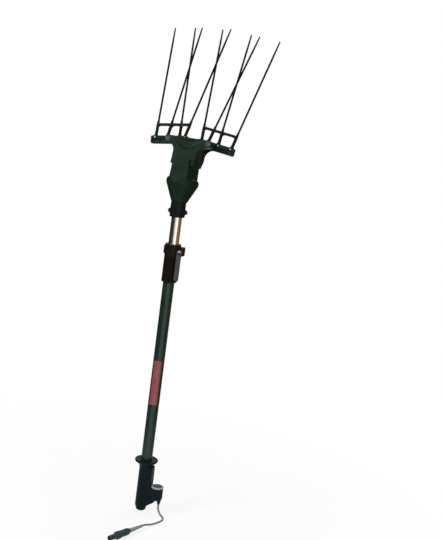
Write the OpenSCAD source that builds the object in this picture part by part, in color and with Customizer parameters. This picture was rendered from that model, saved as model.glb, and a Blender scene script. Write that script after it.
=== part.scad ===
// Electric olive harvester: a telescopic pole with a switch handle at its foot
// and a motor head whose two combs clap together. Millimetres, +Z along the pole,
// origin at the middle of the foot, +X towards the switch pod, -Y is the front.

/* [Pole] */
// Outside diameter of the lower, painted tube
outer_tube_d = 35; // [32:1:40]
// Wall of the lower tube
outer_tube_wall = 1.2; // [1:0.1:1.8]
// Wall of the upper, bare tube
inner_tube_wall = 1.5; // [1:0.1:2.5]
// Height of the lower tube's top end
outer_tube_top = 850; // [780:1:900]
// Length of bare tube that shows between clamp and head
inner_tube_show = 84; // [60:1:140]
// Height of the upper tube's lower end
inner_tube_foot = 150; // [148:1:180]

/* [Handle] */
// Height of the rounded end cap under the tube
end_cap_h = 14; // [10:1:20]
// Height of the top of the hand guard
handle_top = 170; // [150:1:200]
// Wall of the grip around the tube
grip_wall = 2; // [1.6:0.1:3]
// Radius of the hand guard
guard_r = 36.5; // [30:0.5:42]
// Height of the hand guard
guard_h = 20; // [14:1:26]
// Room between the pole's tube and the switch pod
pod_gap = 11.5; // [9:0.5:18]
// Outer radius of the switch pod
pod_r = 19; // [18:0.5:22]
// Wall of the switch pod
pod_wall = 3; // [2.5:0.1:3.5]
// Height of the pod's lower face
pod_foot = 46; // [44:1:50]
// Height of the pod itself
pod_h = 40; // [38:1:48]
// Travel of the push button
button_travel = 3; // [2:0.5:4]

/* [Clamp] */
// Length of the telescope clamp
collar_len = 118; // [100:1:140]
// Wall of the clamp body around the lower tube
collar_wall = 3; // [2.5:0.5:4]
// Height of the clamp ring above the lower tube's end
collar_rise = 12; // [8:1:18]
// Height of the split clamp ring
ring_h = 36; // [30:1:42]
// Wall of the split clamp ring around the lower tube
ring_wall = 6.45; // [5.5:0.05:7.5]
// Thickness of the ribbed grip sleeve
sleeve_wall = 3; // [2:0.5:4]
// Number of ribs round the grip sleeve
sleeve_ribs = 28; // [16:1:36]
// Length of the clamp lever below its pivot
lever_len = 88; // [70:1:90]

/* [Head] */
// Height of the socket that takes the bare tube
socket_h = 42; // [38:1:60]
// Wall of the socket around the bare tube
socket_wall = 7; // [5:0.5:9]
// Lean of the head from the pole, to the back
head_tilt = 10; // [4:1:14]
// Wall of the head's shells
shell_wall = 3; // [2.5:0.1:4]
// Room from the motor's can to the outside of the barrel
barrel_room = 12; // [11:0.5:15]
// Room from the motor's can to the outside of the round band
band_room = 20; // [18:0.5:23]
// Height of the barrel's top above the socket
barrel_top = 128; // [126:1:132]
// Height of the comb pivots above the crank axis
pivot_rise = 37; // [34:1:42]
// Distance of each comb pivot from the middle
pivot_x = 65; // [62:1:70]

/* [Drive] */
// Outer radius of the motor can
motor_r = 29; // [26:0.5:30]
// Radius of the motor shaft
shaft_r = 3; // [2.5:0.1:3.5]
// Gear module
gear_module = 1.25; // [1.2:0.01:1.3]
// Teeth on the pinion
pinion_teeth = 9; // [8:1:10]
// Teeth on the crown gear
crown_teeth = 45; // [42:1:46]
// Height of the crank axis above the barrel's top
crank_rise = 20; // [18:0.5:24]
// Radius of the crank pin
crank_pin_r = 4; // [3:0.5:4.5]
// Radius of the roller on the crank pin
roller_r = 6; // [5.5:0.1:6.5]
// Whole swing of each comb, in degrees
comb_swing = 15; // [8:1:16]
// Distance from comb pivot to yoke pin
yoke_arm = 32; // [30:0.5:34]

/* [Combs] */
// Height of the comb bars
bar_h = 24; // [20:1:26]
// Thickness of the comb bars
bar_t = 15; // [14:0.5:16]
// Length of the tines above their rail
tine_len = 337; // [250:1:360]
// Radius of a tine at its foot
tine_r = 3; // [2.4:0.1:3.2]
// Radius of a tine at its tip
tine_tip_r = 2.2; // [1.4:0.1:2.4]
// Wall of the posts around the tines
post_wall = 1.8; // [1.4:0.1:2.2]
// Height of the posts above the bar
post_h = 42; // [34:1:50]
// Lean of the tines behind the head's own lean
tine_rake = 18; // [8:1:22]
// Clear gap between tines that cross
tine_pass = 0.6; // [0.4:0.1:1.2]

/* [Cord] */
// Diameter of the supply cord
cord_d = 6; // [5:0.5:7]
// Radius of the plug's turning ring
plug_ring_r = 12; // [11.5:0.1:13]

/* [Hidden] */
$fn = 64;

// Clearances
seat_gap = 0.05;
run_gap = 0.08;
slide_gap = 0.3;
part_gap = 0.4;
// Overrun of a cutting tool past a face
cut = 1;
// Length that is surely outside the object
far = 400;

// Pole
outer_r = outer_tube_d / 2;
outer_bore_r = outer_r - outer_tube_wall;
inner_r = outer_bore_r - slide_gap;
inner_bore_r = inner_r - inner_tube_wall;
tube_foot = end_cap_h;
collar_top = outer_tube_top + collar_rise;
collar_foot = collar_top - collar_len;
socket_foot = collar_top + inner_tube_show;
neck_z = socket_foot + socket_h;
inner_tube_top = neck_z - 9;
bush_spigot_h = 12;
bush_flange_h = 6;
bush_bore_r = inner_bore_r - 2.2;

// Handle
grip_r = outer_r + seat_gap + grip_wall;
pod_x = outer_r + pod_gap + pod_r;
pod_top = pod_foot + pod_h;
guard_foot = handle_top - guard_h;
guard_rim_h = 6;
web_t = 24;
web_edge_x = pod_x - pod_r - 0.8;
pod_bore_r = pod_r - pod_wall;
pod_floor_t = 4;
pod_floor = pod_foot + pod_floor_t;
bezel_h = 4;
bezel_bore_r = pod_r - 4.8;
bezel_lap = 0.3;
button_gap = 0.3;
button_r = bezel_bore_r - button_gap;
button_crown_h = 5;
switch_half = pod_bore_r - 6;
switch_from_x = pod_x - switch_half;
switch_len = 2 * pod_bore_r - 18;
switch_w = 2 * switch_half;
switch_h = 18;
switch_top = pod_floor + switch_h;
stem_r = 3;
stem_in = 4;
stem_spare = 2;
button_foot = pod_top - 3;
lead_r = 2.5;
lead_z = pod_floor + 10;
handle_screw_r = 1.5;
handle_screw_head_r = 3;
handle_screw_head_h = 2.4;
handle_screw_x = (outer_r + pod_x - pod_bore_r) / 2;
handle_screw_spots = [[handle_screw_x, 32], [handle_screw_x, pod_top + 6], [grip_r + 4, guard_foot - 14]];
gland_x = pod_x + switch_half;
gland_r = 7;
gland_neck_r = 4.5;
gland_tail_r = cord_d / 2 + 1;
gland_len = 14;
gland_flange_r = 5.3;
gland_flange_h = 2;

// Coiled lead inside the pole
coil_lead_r = 2.4;
coil_r = bush_bore_r - coil_lead_r - 1.4;
coil_tail_foot = lead_z + lead_r + seat_gap;
coil_tail = 14;
coil_foot = coil_tail_foot + coil_tail;
coil_top = inner_tube_top - 40;
coil_turns = 36;
coil_steps = 8;
coil_sides = 6;

// Button spring
spring_r = 6.5;
spring_wire_r = 0.6;
spring_turns = 4;
spring_steps = 8;

// Label on the painted tube
label_foot = 354;
label_h = 142;
label_t = 0.3;
label_span = 85;
label_face = -76;

// Telescope clamp
collar_r = outer_r + seat_gap + collar_wall;
ring_foot = collar_top - ring_h;
ring_r = outer_r + seat_gap + ring_wall;
sleeve_r = collar_r + seat_gap + sleeve_wall;
sleeve_gap = 2;
rib_depth = 0.9;
clamp_slit = 3;
ear_h = 26;
ear_half_t = 11;
ear_x = ring_r + 12;
left_lug_x = ring_r + 4;
left_lug_t = 8;
bolt_x = ring_r + 5;
bolt_z = collar_top - 19;
bolt_r = 3;
nut_r = 5.6;
nut_h = 5;
cam_r = 5.7;
lever_y = -ear_half_t - cam_r - slide_gap;
lever_half_w = 6.8;
cheek_t = 3;
eye_half_t = lever_half_w - cheek_t - slide_gap;
eye_r = 5;
lever_t = 7;
lever_pin_r = 2;

// Axes in the head's own frame: w runs up from the socket's top
crank_w = barrel_top + crank_rise;
pivot_w = crank_w + pivot_rise;
yoke_pin_x = pivot_x - yoke_arm;

// Crown gear and pinion
pinion_r = gear_module * pinion_teeth / 2;
crown_r = gear_module * crown_teeth / 2;
tooth_add = 0.72 * gear_module;
tooth_ded = 0.96 * gear_module;
tooth_pitch_half = 0.496 * gear_module;
tooth_flank = 0.22;
pinion_h = 5;
pinion_w = crank_w - crown_r;
shaft_tip = pinion_w + pinion_h / 2;
crown_face = 5;
gear_floor_gap = 1.375;
gear_room_r = crown_r + crown_face / 2 + 2;
crown_body_t = 6;
crown_pitch_y = -pinion_r;
crown_root_y = crown_pitch_y - tooth_ded;
crown_front_y = crown_root_y - crown_body_t;

// Head shells
socket_r = inner_r + socket_wall;
barrel_r = motor_r + barrel_room;
band_r = motor_r + band_room;
band_w = 62;
band_half = 9;
shell_lip = 5;
lip_bore_r = 14;
taper_foot_r = socket_r;
flare_foot_half = 36;
flare_foot_w = barrel_top - 16;
rear_foot_y = 36;
rear_rise = 20;
ear_r = 11;
flank_half = gear_room_r + 5.375;
flank_r = pivot_x - flank_half;
flank_w = pivot_w - ear_r - flank_r;
flare_top_w = pivot_w + ear_r;
chamber_foot_w = barrel_top - 9;
chamber_half = 30;
chamber_mouth_half = yoke_pin_x + 9;
panel_half = 27;
panel_y = -barrel_r - 3;
panel_foot_w = 66;
front_foot_y = -barrel_r + 2;
front_top_y = -17;
rear_wall = 6;
bars_front_y = 9.7;
bar_gap = 1.5;
left_bar_y = bars_front_y + slide_gap;
right_bar_y = left_bar_y + bar_t + bar_gap;
bars_rear_y = right_bar_y + bar_t + 2.5;
rear_y = bars_rear_y + rear_wall;
shell_screw_r = 1.6;
shell_screw_head_r = 3.2;
shell_boss_r = 4.4;
shell_screw_head_h = 3;
// Each shell screw: sideways place, height and depth of its head's seat
shell_screw_spots = [[motor_r + 7, band_w, 24], [21, 24, 18]];
shell_boss_y = 34;
bearing_boss_r = 14;

// Neck socket
socket_bolt_r = 3;
socket_bolt_gap = 0.1;
socket_bolt_head_r = 5;
socket_bolt_head_h = 3.6;
socket_nut_r = 5.6;
socket_nut_h = 4.4;
socket_bolt_z = socket_foot + 16;
socket_ear_r = 8;
socket_ear_x = socket_r + 3;
flange_r = socket_r - 3;
flange_h = 3.6;
wire_bore_r = 9;

// Motor
motor_foot = 42;
motor_plate_t = 4;
motor_top = crank_w - crown_r - crown_face / 2 - gear_floor_gap - motor_plate_t;
motor_len = motor_top - motor_foot;
motor_can_wall = 2;
motor_plate_r = barrel_r - shell_wall + 1;
magnet_len = motor_len - 26;
magnet_from = motor_foot + 14;
winding_len = motor_len - 30;
winding_from = motor_foot + 16;
winding_slots = 9;
slot_w = 2.4;
slot_depth = 5;
commutator_r = 9;
commutator_len = 13;
motor_lead_r = 1.5;
motor_lead_x = 5;
brush_x = 14;
motor_cap_h = 7;
magnet_r = motor_r - motor_can_wall - 0.1;
magnet_t = 3.4;
armature_r = magnet_r - magnet_t - 0.6;
bearing_r = 7;
bearing_h = 4;
shaft_foot = motor_foot - motor_cap_h + 1.5;

// Crank, roller and yoke
half_swing = comb_swing / 2;
crank_throw = yoke_arm * tan(half_swing);
journal_r = 6;
web_r = 12;
hub_r = 10;
yoke_y = 2;
yoke_t = 7;
yoke_gap = 0.5;
window_half_h = roller_r + 2 * crank_throw + yoke_gap;
window_half_w = roller_r + crank_throw + yoke_gap;
yoke_rim = 4.5;
yoke_foot_rim = 3;
yoke_pin_r = 4;
yoke_pin_w = pivot_w + crank_throw;
yoke_bar_half_h = 7;
crank_bearing_r = 11;
crank_bearing_t = 8;
rear_journal_y = bars_rear_y;
guide_r = 3;
guide_x = 22;
guide_top = yoke_pin_w + yoke_bar_half_h + 3;
guide_y = yoke_y + yoke_t / 2;

// Combs: the left comb works in front of the right one
bar_inner_x = 14;
bar_outer_x = 132;
pivot_bolt_r = 5;
pivot_head_r = 8;
pivot_head_h = 4;
pivot_nut_r = 8.5;
pivot_nut_h = 5;
spacer_r = 9;
bar_chamfer = 3;
yoke_slot_half = 1;
yoke_slot_gap = 0.1;
post_r = tine_r + post_wall;
tine_stagger = tine_r + tine_pass / 2;
tine_x = [119.3, 78.3, 42.6, 22.2];
tine_lean = [0.6, -7.2, 2, -13.2];
tine_row = [1, -1, 1, -1];
rail_h = 6.5;
rail_t = 10;
rail_w = post_h - 6;
tine_seat = 8;
set_screw_r = 2.2;
set_screw_depth = 3;

// Supply cord and plug, which lie on the floor the foot stands on
cord_route = [
    [58, 0, 32], [58, 0, 28], [58.5, -0.5, 21.5], [60.5, -2, 15.5], [64, -4.5, 10.5], [68, -7.5, 6.5],
    [73, -11, 4], [78, -15, 3], [85.5, -23, 3], [90.5, -33, 3], [92, -43, 3], [90, -55, 3],
    [83, -74, 3], [76, -93, 5], [71, -107, 8.5], [66.5, -119, 11.5], [64.5, -124.5, 12], [62.5, -130, 12]
];
cord_sides = 10;
plug_from = cord_route[len(cord_route) - 1];
plug_turn = 20;
boot_len = 58;
boot_tail_r = 4.2;
boot_head_r = 6.5;
plug_body_r = 10.5;
plug_body_len = 40;
plug_ring_len = 14.6;
plug_neck_len = plug_ring_len + 2 * part_gap;
plug_neck_r = 8.6;
plug_nose_r = 8;
plug_nose_len = 28;
plug_socket_r = 6.5;
contact_r = 2;
contact_x = 3.4;

// Helpers

// Cylinder along Y from y0 to y1
module y_rod(r, y0, y1, x = 0, w = 0) {
    translate([x, y0, w]) rotate([-90, 0, 0]) cylinder(r = r, h = y1 - y0);
}

// Cylinder along X from x0 to x1
module x_rod(r, x0, x1, y = 0, w = 0) {
    translate([x0, y, w]) rotate([0, 90, 0]) cylinder(r = r, h = x1 - x0);
}

// Flat outline in the XZ plane, thickened from y0 to y1
module y_plate(y0, y1) {
    translate([0, y1, 0]) rotate([90, 0, 0]) linear_extrude(y1 - y0) children();
}

// Flat outline in the YZ plane, thickened far to both sides
module x_plate() {
    rotate([90, 0, 90]) translate([0, 0, -far]) linear_extrude(2 * far) children();
}

// Ring round +Z
module ring(r_out, r_in, z0, z1) {
    difference() {
        translate([0, 0, z0]) cylinder(r = r_out, h = z1 - z0);
        translate([0, 0, z0 - cut]) cylinder(r = r_in, h = z1 - z0 + 2 * cut);
    }
}

// Ring round +Y
module y_ring(r_out, r_in, y0, y1, x = 0, w = 0) {
    difference() {
        y_rod(r_out, y0, y1, x, w);
        y_rod(r_in, y0 - cut, y1 + cut, x, w);
    }
}

// The head's frame, leaning back from the socket's top
module in_head() {
    translate([0, 0, neck_z]) rotate([-head_tilt, 0, 0]) children();
}

// Everything in front of or behind the head's parting plane
module front_half() {
    translate([-far, -far, -far]) cube([2 * far, far, 2 * far]);
}
module rear_half() {
    translate([-far, 0, -far]) cube([2 * far, far, 2 * far]);
}

// Both sides of the head
module both_sides() {
    for (side = [0, 1]) mirror([side, 0, 0]) children();
}

// Tube swept along points by rings of a few sides
function unit(v) = v / norm(v);
function along(p, i) = unit(p[min(i + 1, len(p) - 1)] - p[max(i - 1, 0)]);
function square_to(v, t) = unit(v - (v * t) * t);
function normals(p, start) = [
    for (
        i = 0, n = square_to(start, along(p, 0));
        i < len(p);
        i = i + 1, n = square_to(n, along(p, min(i, len(p) - 1)))
    ) n
];
module swept_tube(p, r, sides, start) {
    rings = len(p);
    last = (rings - 1) * sides;
    n = normals(p, start);
    points = [
        for (i = [0 : rings - 1]) for (k = [0 : sides - 1])
            let (b = cross(along(p, i), n[i]), a = 360 * k / sides)
            p[i] + r * cos(a) * n[i] + r * sin(a) * b
    ];
    walls = [
        for (i = [0 : rings - 2]) for (k = [0 : sides - 1])
            let (a = i * sides + k, b = i * sides + (k + 1) % sides)
            each [[a, a + sides, b], [b, a + sides, b + sides]]
    ];
    ends = [for (k = [1 : sides - 2]) each [[0, k, k + 1], [last, last + k + 1, last + k]]];
    polyhedron(points = points, faces = concat(walls, ends));
}
function helix(r, z0, z1, turns, steps) = [
    for (i = [0 : turns * steps])
        let (a = 360 * i / steps)
        [r * cos(a), r * sin(a), z0 + (z1 - z0) * i / (turns * steps)]
];

// Pole and handle

module outer_tube() {
    color("darkslategray") difference() {
        ring(outer_r, outer_bore_r, tube_foot, outer_tube_top);
        x_rod(lead_r + part_gap, 0, outer_r + cut, 0, lead_z);
    }
}

module end_cap() {
    rim_r = outer_r - 1;
    foot_r = 10;
    spigot_r = outer_bore_r - seat_gap;
    spigot_h = 16;
    color("black") union() {
        intersection() {
            cylinder(r = rim_r, h = end_cap_h);
            translate([0, 0, end_cap_h]) scale(end_cap_h / 14) sphere(r = norm([foot_r, 14]), $fn = 96);
        }
        translate([0, 0, end_cap_h]) cylinder(r = spigot_r, h = spigot_h);
    }
}

// Whole handle before it is split: grip, guard, web and switch pod
module handle_blank() {
    translate([0, 0, tube_foot]) cylinder(r = grip_r, h = guard_foot - tube_foot + cut);
    rotate_extrude() polygon([
        [0, guard_foot], [grip_r, guard_foot], [grip_r + 4, guard_foot + 5],
        [guard_r, handle_top - guard_rim_h], [guard_r, handle_top - 2],
        [guard_r - 2, handle_top], [0, handle_top]
    ]);
    y_plate(-web_t / 2, web_t / 2) polygon([
        [0, guard_foot], [grip_r + 7.5, guard_foot], [web_edge_x, pod_top + 14], [web_edge_x, pod_top],
        [pod_x - pod_r + 6, pod_top - 4], [pod_x, pod_foot], [pod_x - 4, pod_foot - 10],
        [grip_r - 4, tube_foot + 2], [0, tube_foot + 2]
    ]);
    translate([pod_x, 0, pod_foot]) cylinder(r = pod_r, h = pod_top - pod_foot);
}

module handle_cuts() {
    translate([0, 0, tube_foot - cut]) cylinder(r = outer_r + seat_gap, h = handle_top);
    translate([pod_x, 0, pod_floor]) cylinder(r = pod_bore_r, h = pod_top);
    translate([gland_x, 0, 0]) cylinder(r = gland_neck_r + seat_gap, h = pod_top);
    x_rod(lead_r + part_gap, 0, pod_x, 0, lead_z);
    for (spot = handle_screw_spots)
        translate([spot[0], 0, spot[1]]) {
            y_rod(handle_screw_r, -web_t / 2 + 4, web_t);
            y_rod(handle_screw_head_r + slide_gap, web_t / 2 - handle_screw_head_h, web_t);
        }
}

module handle_front() {
    color("darkslategray") intersection() {
        difference() { handle_blank(); handle_cuts(); }
        front_half();
    }
}

module handle_rear() {
    color("darkslategray") intersection() {
        difference() { handle_blank(); handle_cuts(); }
        rear_half();
    }
}

module handle_screws() {
    head_y = web_t / 2 - handle_screw_head_h;
    color("silver") for (spot = handle_screw_spots)
        translate([spot[0], 0, spot[1]]) union() {
            y_rod(handle_screw_r - seat_gap, -web_t / 2 + 5, head_y);
            y_rod(handle_screw_head_r, head_y, web_t / 2);
        }
}

module switch_bezel() {
    color("lightgray") translate([pod_x, 0, pod_top]) rotate_extrude() polygon([
        [bezel_bore_r, 0], [pod_r + bezel_lap, 0], [pod_r + bezel_lap, bezel_h - 1.5],
        [pod_r - 1.2, bezel_h], [bezel_bore_r, bezel_h]
    ]);
}

module switch_body() {
    color("black") translate([pod_x, 0, pod_floor]) difference() {
        translate([switch_from_x - pod_x, -switch_w / 2, 0]) cube([switch_len, switch_w, switch_h]);
        translate([0, 0, switch_h - stem_in - button_travel - stem_spare])
            cylinder(r = stem_r + slide_gap, h = switch_h);
    }
}

module button_spring() {
    spring_foot = switch_top + spring_wire_r + seat_gap;
    spring_top = button_foot - spring_wire_r - seat_gap;
    turns = helix(spring_r, spring_foot, spring_top, spring_turns, spring_steps);
    color("silver") translate([pod_x, 0, 0]) swept_tube(turns, spring_wire_r, coil_sides, [0, 0, 1]);
}

module switch_button() {
    stem_foot = switch_top - stem_in;
    dome_r = (pow(button_r, 2) + pow(button_crown_h, 2)) / (2 * button_crown_h);
    color("darkslategray") translate([pod_x, 0, 0]) union() {
        translate([0, 0, stem_foot]) cylinder(r = stem_r, h = button_foot - stem_foot + cut);
        translate([0, 0, button_foot]) cylinder(r = button_r, h = pod_top + bezel_h - 1 - button_foot);
        intersection() {
            translate([0, 0, pod_top]) cylinder(r = button_r, h = far);
            translate([0, 0, pod_top + bezel_h - 1 + button_crown_h - dome_r]) sphere(r = dome_r, $fn = 96);
        }
    }
}

module handle_lead() {
    color("black") x_rod(lead_r, -lead_r, switch_from_x - seat_gap, 0, lead_z);
}

// The lead rises on the pole's axis, opens into the helix over one turn and ends the same way
coil_pitch = (coil_top - coil_foot) / coil_turns;
function coil_reach(i) = coil_r * min(1, i / coil_steps, coil_turns - i / coil_steps);
coil_points = concat(
    [[0, 0, coil_tail_foot], [0, 0, coil_tail_foot + coil_tail / 2]],
    [
        for (i = [0 : coil_turns * coil_steps])
            let (a = 360 * i / coil_steps)
            [coil_reach(i) * cos(a), coil_reach(i) * sin(a), coil_foot + coil_pitch * i / coil_steps]
    ],
    [[0, 0, coil_top + coil_tail / 2], [0, 0, coil_top + coil_tail]]
);
echo(coil_gap = min([
    for (i = [2 * coil_steps : 4 * coil_steps]) for (j = [i + coil_steps - 2 : i + coil_steps + 2])
        norm(coil_points[i] - coil_points[j]) - 2 * coil_lead_r
]));
echo(spring_gap = (button_foot - switch_top - 2 * spring_wire_r) / spring_turns - 2 * spring_wire_r);

module coiled_lead() {
    color("black") swept_tube(coil_points, coil_lead_r, coil_sides, [1, 0, 0]);
}

module label() {
    color("firebrick") rotate([0, 0, label_face - label_span / 2]) rotate_extrude(angle = label_span)
        translate([outer_r + seat_gap, label_foot]) square([label_t, label_h]);
}

// Telescope clamp

module lock_collar() {
    color("black") difference() {
        union() {
            translate([0, 0, collar_foot]) cylinder(r = collar_r, h = collar_top - collar_foot);
            translate([0, 0, ring_foot]) cylinder(r = ring_r, h = ring_h);
            translate([0, -ear_half_t, bolt_z - ear_h / 2]) cube([ear_x, 2 * ear_half_t, ear_h]);
            translate([-left_lug_x, -left_lug_t / 2, bolt_z - ear_h / 2])
                cube([left_lug_x, left_lug_t, ear_h]);
        }
        translate([0, 0, collar_foot - cut])
            cylinder(r = outer_r + seat_gap, h = outer_tube_top + seat_gap - collar_foot + cut);
        translate([0, 0, collar_foot]) cylinder(r = inner_r + run_gap, h = far);
        translate([0, -clamp_slit / 2, ring_foot - 2]) cube([far, clamp_slit, far]);
        y_rod(bolt_r + seat_gap, -far, far, bolt_x, bolt_z);
    }
}

module lock_grip() {
    foot = collar_foot + 1;
    top = ring_foot - sleeve_gap;
    color("saddlebrown") difference() {
        translate([0, 0, foot]) cylinder(r = sleeve_r, h = top - foot);
        translate([0, 0, foot - cut]) cylinder(r = collar_r + seat_gap, h = far);
        for (k = [0 : sleeve_ribs - 1])
            rotate([0, 0, 360 * (k + 0.5) / sleeve_ribs]) translate([sleeve_r + 0.4, 0, foot + 5])
                cylinder(r = rib_depth + 0.4, h = top - foot - 10, $fn = 16);
    }
}

module clamp_bolt() {
    color("gray") difference() {
        union() {
            y_rod(bolt_r, lever_y + lever_pin_r + 1, ear_half_t + nut_h + 2, bolt_x, bolt_z);
            x_rod(eye_r, bolt_x - eye_half_t, bolt_x + eye_half_t, lever_y, bolt_z);
        }
        x_rod(lever_pin_r + seat_gap, 0, far, lever_y, bolt_z);
    }
}

module clamp_nut() {
    color("silver") translate([bolt_x, ear_half_t, bolt_z]) rotate([-90, 0, 0]) difference() {
        cylinder(r = nut_r, h = nut_h, $fn = 6);
        translate([0, 0, -cut]) cylinder(r = bolt_r + seat_gap, h = nut_h + 2 * cut);
    }
}

module lever_pin() {
    color("silver") x_rod(lever_pin_r, bolt_x - lever_half_w, bolt_x + lever_half_w, lever_y, bolt_z);
}

// The lever's cheeks hold the pin, and its arm hangs in front of the grip sleeve
module lock_lever() {
    arm_top = bolt_z - eye_r - 2;
    arm_foot = bolt_z - lever_len;
    color("dimgray") difference() {
        union() {
            x_rod(cam_r, bolt_x - lever_half_w, bolt_x + lever_half_w, lever_y, bolt_z);
            translate([bolt_x - lever_half_w, lever_y - cam_r, arm_foot])
                cube([2 * lever_half_w, lever_t, bolt_z - arm_foot]);
        }
        x_rod(lever_pin_r + run_gap, 0, far, lever_y, bolt_z);
        translate([bolt_x - lever_half_w + cheek_t, -far, arm_top])
            cube([2 * (lever_half_w - cheek_t), 2 * far, far]);
    }
}

// Supply cord and plug

module cord_gland() {
    color("black") translate([gland_x, 0, 0]) rotate_extrude() polygon([
        [cord_d / 2 + seat_gap, pod_foot - gland_len], [gland_tail_r, pod_foot - gland_len],
        [gland_r, pod_foot], [gland_neck_r, pod_foot], [gland_neck_r, pod_floor],
        [gland_flange_r, pod_floor], [gland_flange_r, pod_floor + gland_flange_h],
        [cord_d / 2 + seat_gap, pod_floor + gland_flange_h]
    ]);
}

module supply_cord() {
    color("darkolivegreen") swept_tube(cord_route, cord_d / 2, cord_sides, [1, 0, 0]);
}

// The plug's frame: z runs along the plug towards its nose
module in_plug() {
    translate(plug_from) rotate([90, 0, -plug_turn]) children();
}

module plug_boot() {
    color("gray") in_plug() rotate_extrude() polygon([
        [0, seat_gap], [boot_tail_r, seat_gap], [boot_head_r, boot_len - 6],
        [boot_head_r, boot_len], [0, boot_len]
    ]);
}

// Places along the plug
plug_neck_at = boot_len + plug_body_len;
plug_nose_at = plug_neck_at + plug_neck_len;
plug_tip_at = plug_nose_at + plug_nose_len;

module plug_body() {
    socket_depth = plug_nose_len - 4;
    color("black") in_plug() difference() {
        rotate_extrude() polygon([
            [0, boot_len], [boot_head_r + 1, boot_len], [plug_body_r, boot_len + 8],
            [plug_body_r, plug_neck_at], [plug_neck_r, plug_neck_at], [plug_neck_r, plug_nose_at],
            [plug_nose_r, plug_nose_at], [plug_nose_r, plug_tip_at], [0, plug_tip_at]
        ]);
        translate([0, 0, plug_tip_at - socket_depth]) cylinder(r = plug_socket_r, h = far);
    }
}

module plug_contacts() {
    pin_len = plug_nose_len - 8;
    color("goldenrod") in_plug() for (side = [-1, 1])
        translate([side * contact_x, 0, plug_nose_at + 4]) cylinder(r = contact_r, h = pin_len);
}

module plug_ring() {
    foot = plug_neck_at + part_gap;
    ridges = 18;
    color("black") in_plug() difference() {
        rotate_extrude() polygon([
            [plug_neck_r + seat_gap, foot], [plug_ring_r - 1, foot], [plug_ring_r, foot + 1],
            [plug_ring_r, foot + plug_ring_len - 1], [plug_ring_r - 1, foot + plug_ring_len],
            [plug_neck_r + seat_gap, foot + plug_ring_len]
        ]);
        for (k = [0 : ridges - 1])
            rotate([0, 0, 360 * k / ridges]) translate([plug_ring_r + 0.4, 0, foot + 3])
                cylinder(r = 1, h = plug_ring_len - 6, $fn = 16);
    }
}

// Bare tube and its bush

module inner_tube() {
    color("gainsboro") difference() {
        ring(inner_r, inner_bore_r, inner_tube_foot, inner_tube_top);
        x_rod(socket_bolt_r + socket_bolt_gap, -far, far, 0, socket_bolt_z);
    }
}

module slide_bush() {
    color("white") difference() {
        union() {
            translate([0, 0, inner_tube_foot - bush_flange_h])
                cylinder(r = outer_bore_r - run_gap, h = bush_flange_h);
            translate([0, 0, inner_tube_foot]) cylinder(r = inner_bore_r - seat_gap, h = bush_spigot_h);
        }
        translate([0, 0, inner_tube_foot - far / 2]) cylinder(r = bush_bore_r, h = far);
    }
}

// Neck socket with its through bolt

module neck_socket() {
    color("black") difference() {
        union() {
            difference() {
                union() {
                    translate([0, 0, socket_foot]) cylinder(r = socket_r, h = socket_h + 10);
                    x_rod(socket_ear_r, -socket_ear_x, socket_ear_x, 0, socket_bolt_z);
                }
                in_head() translate([-far, -far, -seat_gap]) cube(2 * far);
            }
            in_head() translate([0, 0, -6]) cylinder(r = lip_bore_r - seat_gap, h = 6 + shell_lip + 1);
            in_head() translate([0, 0, shell_lip + seat_gap]) cylinder(r = flange_r, h = flange_h);
        }
        translate([0, 0, socket_foot - cut])
            cylinder(r = inner_r + seat_gap, h = inner_tube_top - socket_foot + cut);
        translate([0, 0, socket_foot]) cylinder(r = wire_bore_r, h = far);
        x_rod(socket_bolt_r + socket_bolt_gap, -far, far, 0, socket_bolt_z);
    }
}

module socket_bolt() {
    color("darkgoldenrod") union() {
        x_rod(socket_bolt_r, -socket_ear_x, socket_ear_x + socket_nut_h, 0, socket_bolt_z);
        x_rod(socket_bolt_head_r, -socket_ear_x - socket_bolt_head_h, -socket_ear_x, 0, socket_bolt_z);
    }
}

module socket_nut() {
    color("silver") translate([socket_ear_x, 0, socket_bolt_z]) rotate([0, 90, 0]) difference() {
        cylinder(r = socket_nut_r, h = socket_nut_h, $fn = 6);
        translate([0, 0, -cut]) cylinder(r = socket_bolt_r + seat_gap, h = socket_nut_h + 2 * cut);
    }
}

// Head shells

// Profile of the motor barrel, taken in by an inset for its hollow
module barrel_profile(inset) {
    foot = inset > 0 ? shell_lip : 0;
    polygon([
        [0, foot], [taper_foot_r - inset + foot * 0.45, foot],
        [band_r - 2 - inset, band_w - band_half], [band_r - inset, band_w - band_half + 4],
        [band_r - inset, band_w + band_half - 4], [band_r - 2 - inset, band_w + band_half],
        [barrel_r + 2 - inset, band_w + band_half + 3], [barrel_r - inset, barrel_top],
        [0, barrel_top]
    ]);
}

// Front view of the flared top: concave flanks that sweep out to round ears
module flare_outline() {
    difference() {
        polygon([
            [-flare_foot_half, flare_foot_w], [flare_foot_half, flare_foot_w],
            [flank_half, flank_w], [pivot_x, pivot_w - ear_r], [pivot_x, flare_top_w],
            [-pivot_x, flare_top_w], [-pivot_x, pivot_w - ear_r], [-flank_half, flank_w]
        ]);
        for (side = [-1, 1]) translate([side * pivot_x, flank_w]) circle(r = flank_r);
    }
    for (side = [-1, 1]) translate([side * pivot_x, pivot_w]) circle(r = ear_r);
}

// Solid head before hollowing and splitting
module head_blank() {
    rotate_extrude() barrel_profile(0);
    translate([-panel_half, panel_y, panel_foot_w])
        cube([2 * panel_half, -panel_y, barrel_top - panel_foot_w]);
    intersection() {
        y_plate(front_foot_y, rear_y) flare_outline();
        x_plate() polygon([
            [front_foot_y, flare_foot_w], [rear_foot_y, flare_foot_w], [rear_y, flare_foot_w + rear_rise],
            [rear_y, flare_top_w], [front_top_y, flare_top_w]
        ]);
    }
}

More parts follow.
